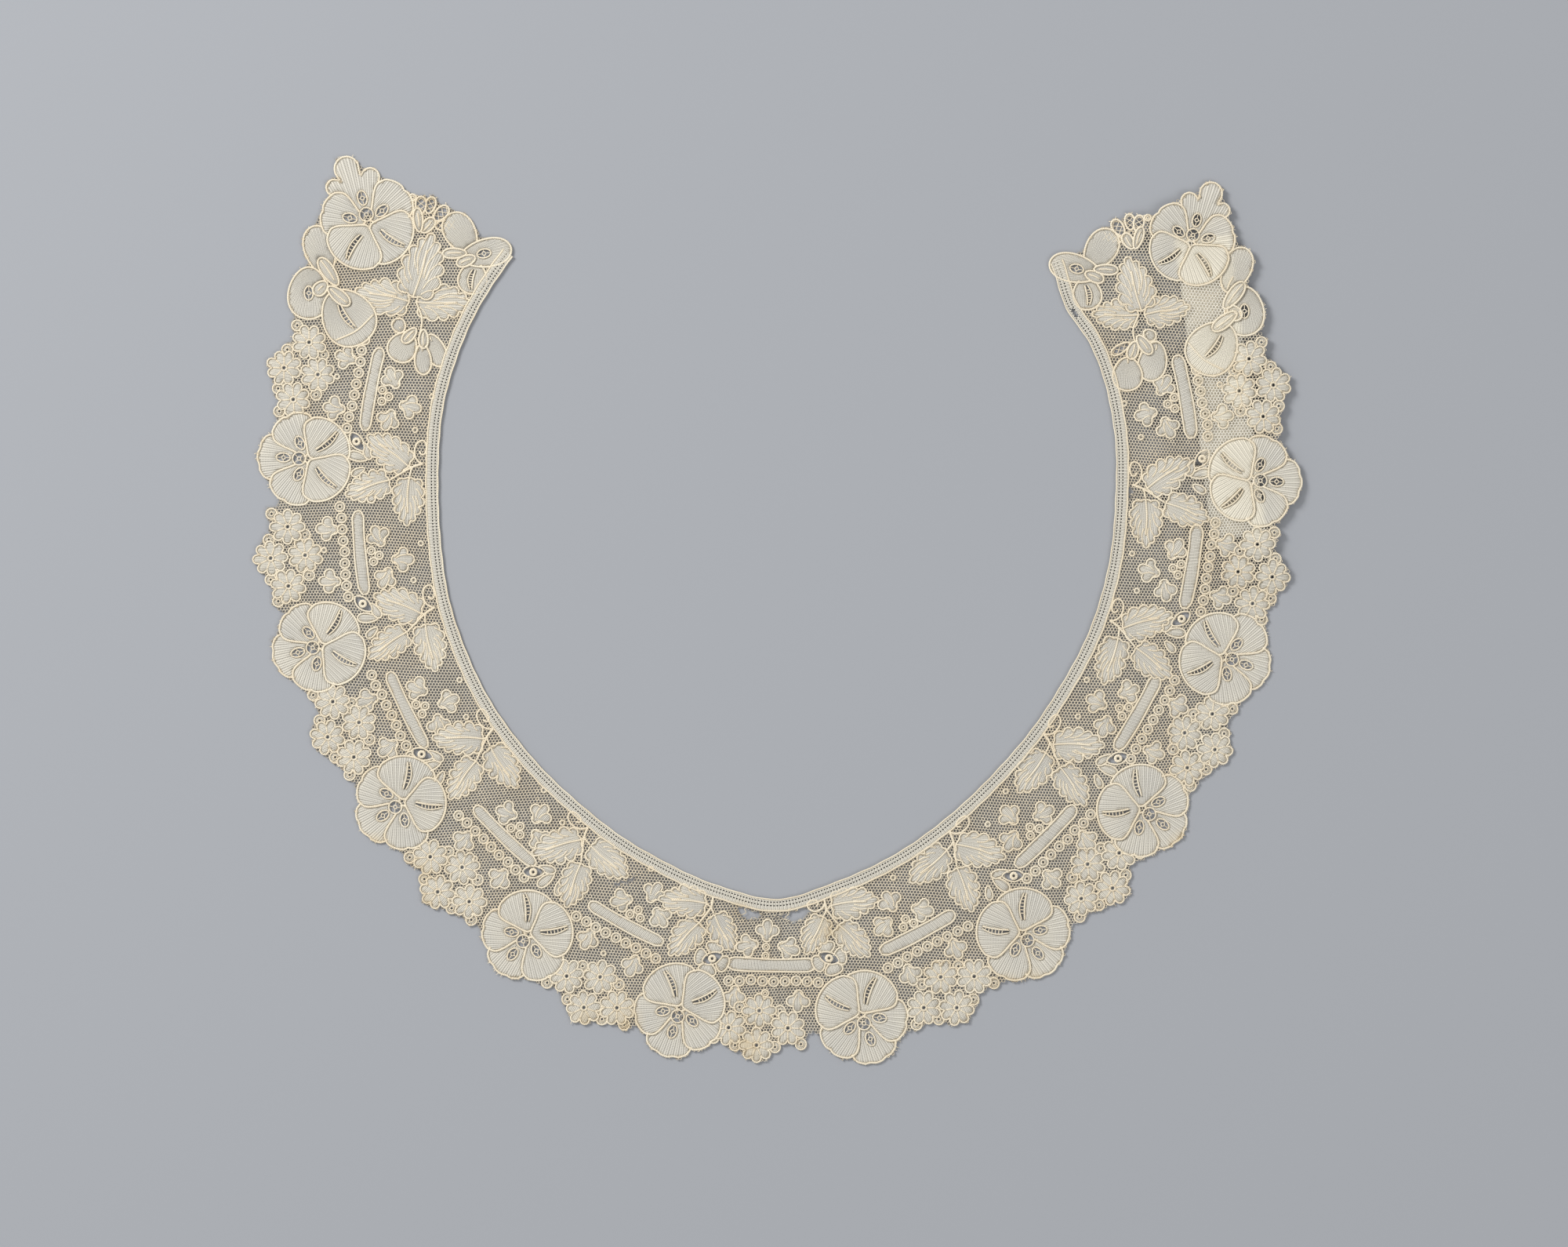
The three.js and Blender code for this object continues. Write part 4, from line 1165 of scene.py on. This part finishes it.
# The small things that are worked on the net beside each bar.
for label, side, *_, bar_at in [*numbered, ("centre", 1, CENTRE_BAR)]:
    at = place_at(side, bar_at)
    cloth, threads = relief[side]
    for k in range(CHAIN["rings"]):
        u = CHAIN["first"] + CHAIN["pitch"] * k + 0.1 * rng.uniform(-1, 1)
        v = CHAIN["beyond"] + 0.25 * rng.uniform(-1, 1)
        laid.append(at(small_ring(cloth, threads, at, u, v, CHAIN["radius"], WORKED, laid)))
    if label == "centre":
        continue
    for u, v, turn in SPRIG:
        laid.append(at(trefoil(cloth, threads, at, u, v, turn + rng.uniform(-12, 12), laid)))
    net_rings(cloth, threads, at, **SPRIG_RINGS)
    net_rings(cloth, threads, at, **DOTS)
at = place_at(1, CENTRE_SPRIG)
cloth, threads = relief[1]
for u, v, turn in CENTRE_TREFOILS:
    laid.append(at(trefoil(cloth, threads, at, u, v, turn, laid)))
net_rings(cloth, threads, at, **CENTRE_RINGS)

# Frayed ends: at the rips, and picots and broken threads on the outer edge.
FLAT = Place(np.zeros(2), np.array([1.0, 0.0]), np.array([0.0, 1.0]))


def fray(threads, loop, count, way, long, outer=False):
    """Short loose threads that leave a loop, inwards or outwards."""
    edge = resample(loop, 0.5, True)
    if outer:
        edge = edge[neck_depth(edge)[1] > OUTER_RIM]
        for other in laid:
            if other is not loop and overlaps(loop, other):
                edge = edge[~inside(edge, other)]
    for k in rng.integers(0, max(len(edge), 1), count if len(edge) else 0):
        out = (edge[k] - loop.mean(0)) / np.linalg.norm(edge[k] - loop.mean(0)) * way
        side = np.array([-out[1], out[0]]) * rng.uniform(-1, 1)
        reach = long * rng.uniform(0.5, 1.4)
        line = edge[k] + np.array([-out * 0.3, out * reach * 0.5 + side * 0.4, (out + side) * reach * 0.8])
        cord(threads, FLAT, line, rng.uniform(0.3, 0.6), 0.09, smoothed=True, sides=4, step=0.4)


for rip, count in zip(RIPS, RIP_THREADS):
    fray(relief[1][1], np.array(rip), count, -1, 0.7)
for line in LOOSE:
    cord(relief[1][1], FLAT, line, 0.6, 0.11, smoothed=True, sides=4, step=0.5)
for loop in list(laid):
    if np.ptp(loop, axis=0).min() > 6:
        fray(relief[-1 if loop[:, 0].mean() < 0 else 1][1], loop, 6, 1, 0.8, outer=True)
relief_pieces = []
for side, (cloth, threads) in relief.items():
    relief_pieces.append(cloth.build(f"relief_{SIDE_NAME[side]}_lace", TOILE_MATERIAL))
    relief_pieces.append(threads.build(f"relief_{SIDE_NAME[side]}_cords", CORD_MATERIAL))


# ---- the neck band ----
def neck_band():
    """Two cords with a stitched strip between them, pierced by two rows of small holes."""
    cloth, threads = Part(), Part()
    start, end = WALK_ALONG[0], WALK_ALONG[-1]
    columns = int((end - start) / BAND_COLUMN)
    along = np.linspace(start, end, columns + 1)
    rows, z = BAND_ROWS.T
    grid, _, _ = frame_at(np.repeat(along[:, None], len(rows), 1), np.repeat(rows[None], columns + 1, 0))
    top = raised(grid.reshape(-1, 2), np.tile(z, columns + 1))
    torn = neck_depth(np.array([[BAND_SLIT["x"], BAND_SLIT["y"]]]))[0, 0]
    quads = []
    for i in range(columns):
        for j in range(len(rows) - 1):
            if i % 2 and j in (1, 3):
                continue
            if j == 2 and abs(along[i] - torn) < BAND_SLIT["long"] / 2:
                continue
            a = i * len(rows) + j
            quads.append((a, a + 1, a + len(rows) + 1, a + len(rows)))
    quads = np.array(quads)
    faces = np.concatenate([quads[:, [0, 1, 2]], quads[:, [0, 2, 3]]])[:, ::-1]
    area = signed_area(top, faces)
    if area.sum() < 0:
        faces = faces[:, ::-1]
    cloth.plan_area = abs(area).sum()
    stitch = np.zeros((len(top), 3))
    stitch[:, 0] = np.repeat(along, len(rows))
    stitch[:, 1] = np.tile(rows, columns + 1)
    stitch[:, 2] = 0.35
    shell(cloth, top, faces, stitch, BAND_THICK)
    path = np.arange(start, end, STEP)
    for depth, radius, level in BAND_CORDS:
        wave = depth + 0.06 * np.sin(path * 0.9 + depth * 5) + 0.05 * np.sin(path * 0.23)
        line, _, _ = frame_at(path, wave)
        tube(threads, raised(line, level), radius)
    band = cloth.build("neck_band_lace", TOILE_MATERIAL)
    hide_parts("neck_band")
    cords = threads.build("neck_band_cords", CORD_MATERIAL)


neck_band()


# ---- the net ----
def ground_region(reach):
    """A test for points in the ground: the strip of net and what the motifs close in."""
    step, x0, y0 = 0.6, -150.0, -62.0
    x, y = np.meshgrid(np.arange(x0, 152, step), np.arange(y0, 216, step), indexing="ij")
    points = np.stack([x.ravel(), y.ravel()], 1)
    along, depth = neck_depth(points)
    worked = (depth > 0) & (depth < BAND_WIDTH) & (along > WALK_ALONG[0]) & (along < WALK_ALONG[-1])
    worked |= (depth > 0) & (depth < NET["outer"]) & (abs(along) < NET["plain"])
    for loop in laid:
        worked |= inside(points, loop)
    cells = int(reach / step)
    wall = spread(worked.reshape(x.shape), cells)
    outside = np.zeros(x.shape, bool)
    outside[0] = True
    while True:
        grown = spread(outside, 1) & ~wall
        if (grown == outside).all():
            break
        outside = grown
    filled = ~spread(outside, cells)

    def test(xy):
        i = ((xy - [x0, y0]) / step).round().astype(int)
        return filled[i[:, 0], i[:, 1]]

    return test


def spread(marked, cells):
    """The marked cells of a grid grown by a disc."""
    grown = marked.copy()
    for i in range(-cells, cells + 1):
        for j in range(-cells, cells + 1):
            if i * i + j * j <= cells * cells:
                grown |= np.roll(marked, (i, j), (0, 1))
    return grown


def net_cells():
    """The middles of the net's cells, clear of what is worked in it."""
    pitch = NET["pitch"]
    x = np.arange(-146, 146, pitch)
    y = np.arange(-56, 210, pitch * math.sqrt(3) / 2)
    column, row = np.meshgrid(np.arange(len(x)), np.arange(len(y)))
    index = np.stack([column.ravel(), row.ravel()], 1)
    middle = np.stack([x[index[:, 0]] + (index[:, 1] % 2) * pitch / 2, y[index[:, 1]]], 1)
    drawn = warp(middle)
    _, depth = neck_depth(drawn)
    keep = (depth > NET["inner"]) & ground_region(NET["reach"])(drawn)
    middle, drawn = middle[keep], drawn[keep]
    free = np.ones(len(drawn), bool)
    for loop in laid:
        centre = loop.mean(0)
        shrunk = centre + (loop - centre) * (1 - 0.18 / max(np.ptp(loop, axis=0).min() / 2, 0.7))
        free &= ~inside(drawn, shrunk)
    for rip in RIPS:
        free &= ~inside(drawn, np.array(rip))
    return middle[free], drawn[free]


def warp(xy):
    """The net's slow waves."""
    x, y = xy.T
    return xy + np.stack(
        [1.5 * np.sin(y / 17.0 + x / 41.0) + 0.3 * np.sin(y / 4.1), 1.2 * np.sin(x / 15.0 - y / 37.0)], 1
    )


def net(name, middle, node_names):
    """Cells of six threads round a hole, joined along their ridges."""
    part = Part()
    pitch = NET["pitch"]
    corner = np.radians(np.arange(6) * 60 + 30)
    spoke = np.stack([np.cos(corner), np.sin(corner)], 1) * pitch / math.sqrt(3)
    ridge = warp((middle[:, None] + spoke).reshape(-1, 2)).reshape(-1, 6, 2)
    centre = ridge.mean(1, keepdims=True)
    share = NET_HOLE * (1 + 0.10 * rng.standard_normal((len(middle), 1, 1)))
    hole = centre + (ridge - centre) * np.clip(share, 0.42, 0.74)
    flat_ridge = ridge.reshape(-1, 2)
    key, index = np.unique(np.round(flat_ridge * 200).astype(int), axis=0, return_inverse=True)
    index = index.ravel().reshape(-1, 6)
    firsts = np.zeros((len(key), 2))
    firsts[index.ravel()] = flat_ridge
    count = len(key)
    lift = 0.06 * np.sin(firsts[:, 0] / 3.1) * np.sin(firsts[:, 1] / 4.3)
    top = raised(firsts, 0.62 + lift)
    low = raised(firsts, 0.14)
    holes = raised(hole.reshape(-1, 2), 0.36)
    n = np.arange(len(middle))[:, None]
    j = np.arange(6)[None]
    k = (j + 1) % 6
    h0, h1 = 2 * count + n * 6 + j, 2 * count + n * 6 + k
    r0, r1 = index[n, j], index[n, k]
    tops = [np.stack([h0, r0, r1], 2), np.stack([h0, r1, h1], 2)]
    lows = [np.stack([h0, r1 + count, r0 + count], 2), np.stack([h0, h1, r1 + count], 2)]
    faces = np.concatenate([f.reshape(-1, 3) for f in (*tops, *lows)])
    points = np.concatenate([top, low, holes])
    stitch = np.zeros((len(points), 3))
    stitch[:, 0] = points[:, 0] + points[:, 1]
    stitch[:, 1] = points[:, 0] * 2
    # the tone is the label tape's mask, where the net's colour is painted light
    stitch[:, 2] = over_tape(points[:, :2])
    part.add(points, faces, stitch)
    piece = part.build(name, NET_MATERIAL)
    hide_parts(*node_names)
    area = len(middle) * pitch * pitch * math.sqrt(3) / 2 * MM * MM
    return piece, area


middles, drawn = net_cells()
from_middle, _ = neck_depth(drawn)
quarter = np.searchsorted(NET_SPLITS, from_middle)
for k, name in enumerate(NETS):
    own_nodes = ["net_end_left", "net_corner_left"] if k == 0 else []
    piece, area = net(name, middles[quarter == k], ["net_ground", *own_nodes])
    beside = [p for p in relief_pieces if p.name.split("_")[1] in name] if k in (1, 2) else []


# ---- the label tape ----
def label_tape():
    """A woven tape with ragged ends that lies flat under the right front."""
    part = Part()
    columns, rows = 22, 90
    u = np.linspace(-LABEL["wide"] / 2, LABEL["wide"] / 2, columns + 1)
    v = np.linspace(-LABEL["long"] / 2, LABEL["long"] / 2, rows + 1)
    uu, vv = np.meshgrid(u, v, indexing="ij")
    turn = math.radians(LABEL["turn"])
    ragged = 0.12 * np.sin(uu * 9) * (abs(vv) > LABEL["long"] / 2 - 0.4)
    x = LABEL["x"] + uu * math.cos(turn) - (vv + ragged) * math.sin(turn)
    y = LABEL["y"] + uu * math.sin(turn) + (vv + ragged) * math.cos(turn)
    selvedge = 0.10 * (abs(uu) > LABEL["wide"] / 2 - 1.0)  # thicker for a millimetre
    z = 0.62 + selvedge + 0.08 * np.sin(vv / 5.0) * np.sin(uu / 2.5)
    rise = rise_at(np.stack([x.ravel(), y.ravel()], 1))
    top = np.stack([x.ravel(), y.ravel(), z.ravel() - rise], 1)
    i, j = np.meshgrid(np.arange(columns), np.arange(rows), indexing="ij")
    a = (i * (rows + 1) + j).ravel()
    quads = np.stack([a, a + rows + 1, a + rows + 2, a + 1], 1)
    faces = np.concatenate([quads[:, [0, 1, 2]], quads[:, [0, 2, 3]]])
    stitch = np.stack([uu.ravel(), vv.ravel(), 0 * uu.ravel()], 1)
    shell(part, top, faces, stitch, TAPE_THICK)
    tape = part.build("label_tape_cloth", LABEL_MATERIAL)
    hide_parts("label_tape")


label_tape()


# ---- stage, light and camera ----
def make_floor():
    mesh = bpy.data.meshes.new("floor")
    signs = ((-1, -1), (1, -1), (1, 1), (-1, 1))
    corners = [(x * FLOOR_HALF, y * FLOOR_HALF, FLOOR_LEVEL) for x, y in signs]
    mesh.from_pydata(corners, [], [(0, 1, 2, 3)])
    material = bpy.data.materials.new("floor_paper")
    material.use_nodes = True
    shader = material.node_tree.nodes["Principled BSDF"]
    shader.inputs["Base Color"].default_value = (*FLOOR_GREY, 1)
    shader.inputs["Roughness"].default_value = 0.9
    mesh.materials.append(material)
    floor = bpy.data.objects.new("floor", mesh)
    bpy.context.scene.collection.objects.link(floor)


def area_light(name, location, size, power, target=(0.0, 0.08, 0.0)):
    data = bpy.data.lights.new(name, "AREA")
    data.shape = "DISK"
    data.size = size
    data.energy = power
    light = bpy.data.objects.new(name, data)
    light.location = location
    light.rotation_euler = (Vector(target) - Vector(location)).to_track_quat("-Z", "Y").to_euler()
    bpy.context.scene.collection.objects.link(light)


make_floor()
for lamp in LAMPS:
    area_light(*lamp)
world = bpy.data.worlds.new("studio")
world.use_nodes = True
background = world.node_tree.nodes["Background"].inputs
background["Color"].default_value = (*SKY, 1)
background["Strength"].default_value = 0.55
bpy.context.scene.world = world
bpy.context.scene.view_settings.view_transform = "Standard"

camera_data = bpy.data.cameras.new("camera")
camera_data.sensor_width = SENSOR
camera_data.lens = SENSOR * CAMERA["height"] / CAMERA["width"]
camera_data.clip_start, camera_data.clip_end = 0.05, 50.0
camera = bpy.data.objects.new("camera", camera_data)
camera.location = (CAMERA["x"] * MM, CAMERA["y"] * MM, CAMERA["height"] * MM)
bpy.context.scene.collection.objects.link(camera)
bpy.context.scene.camera = camera
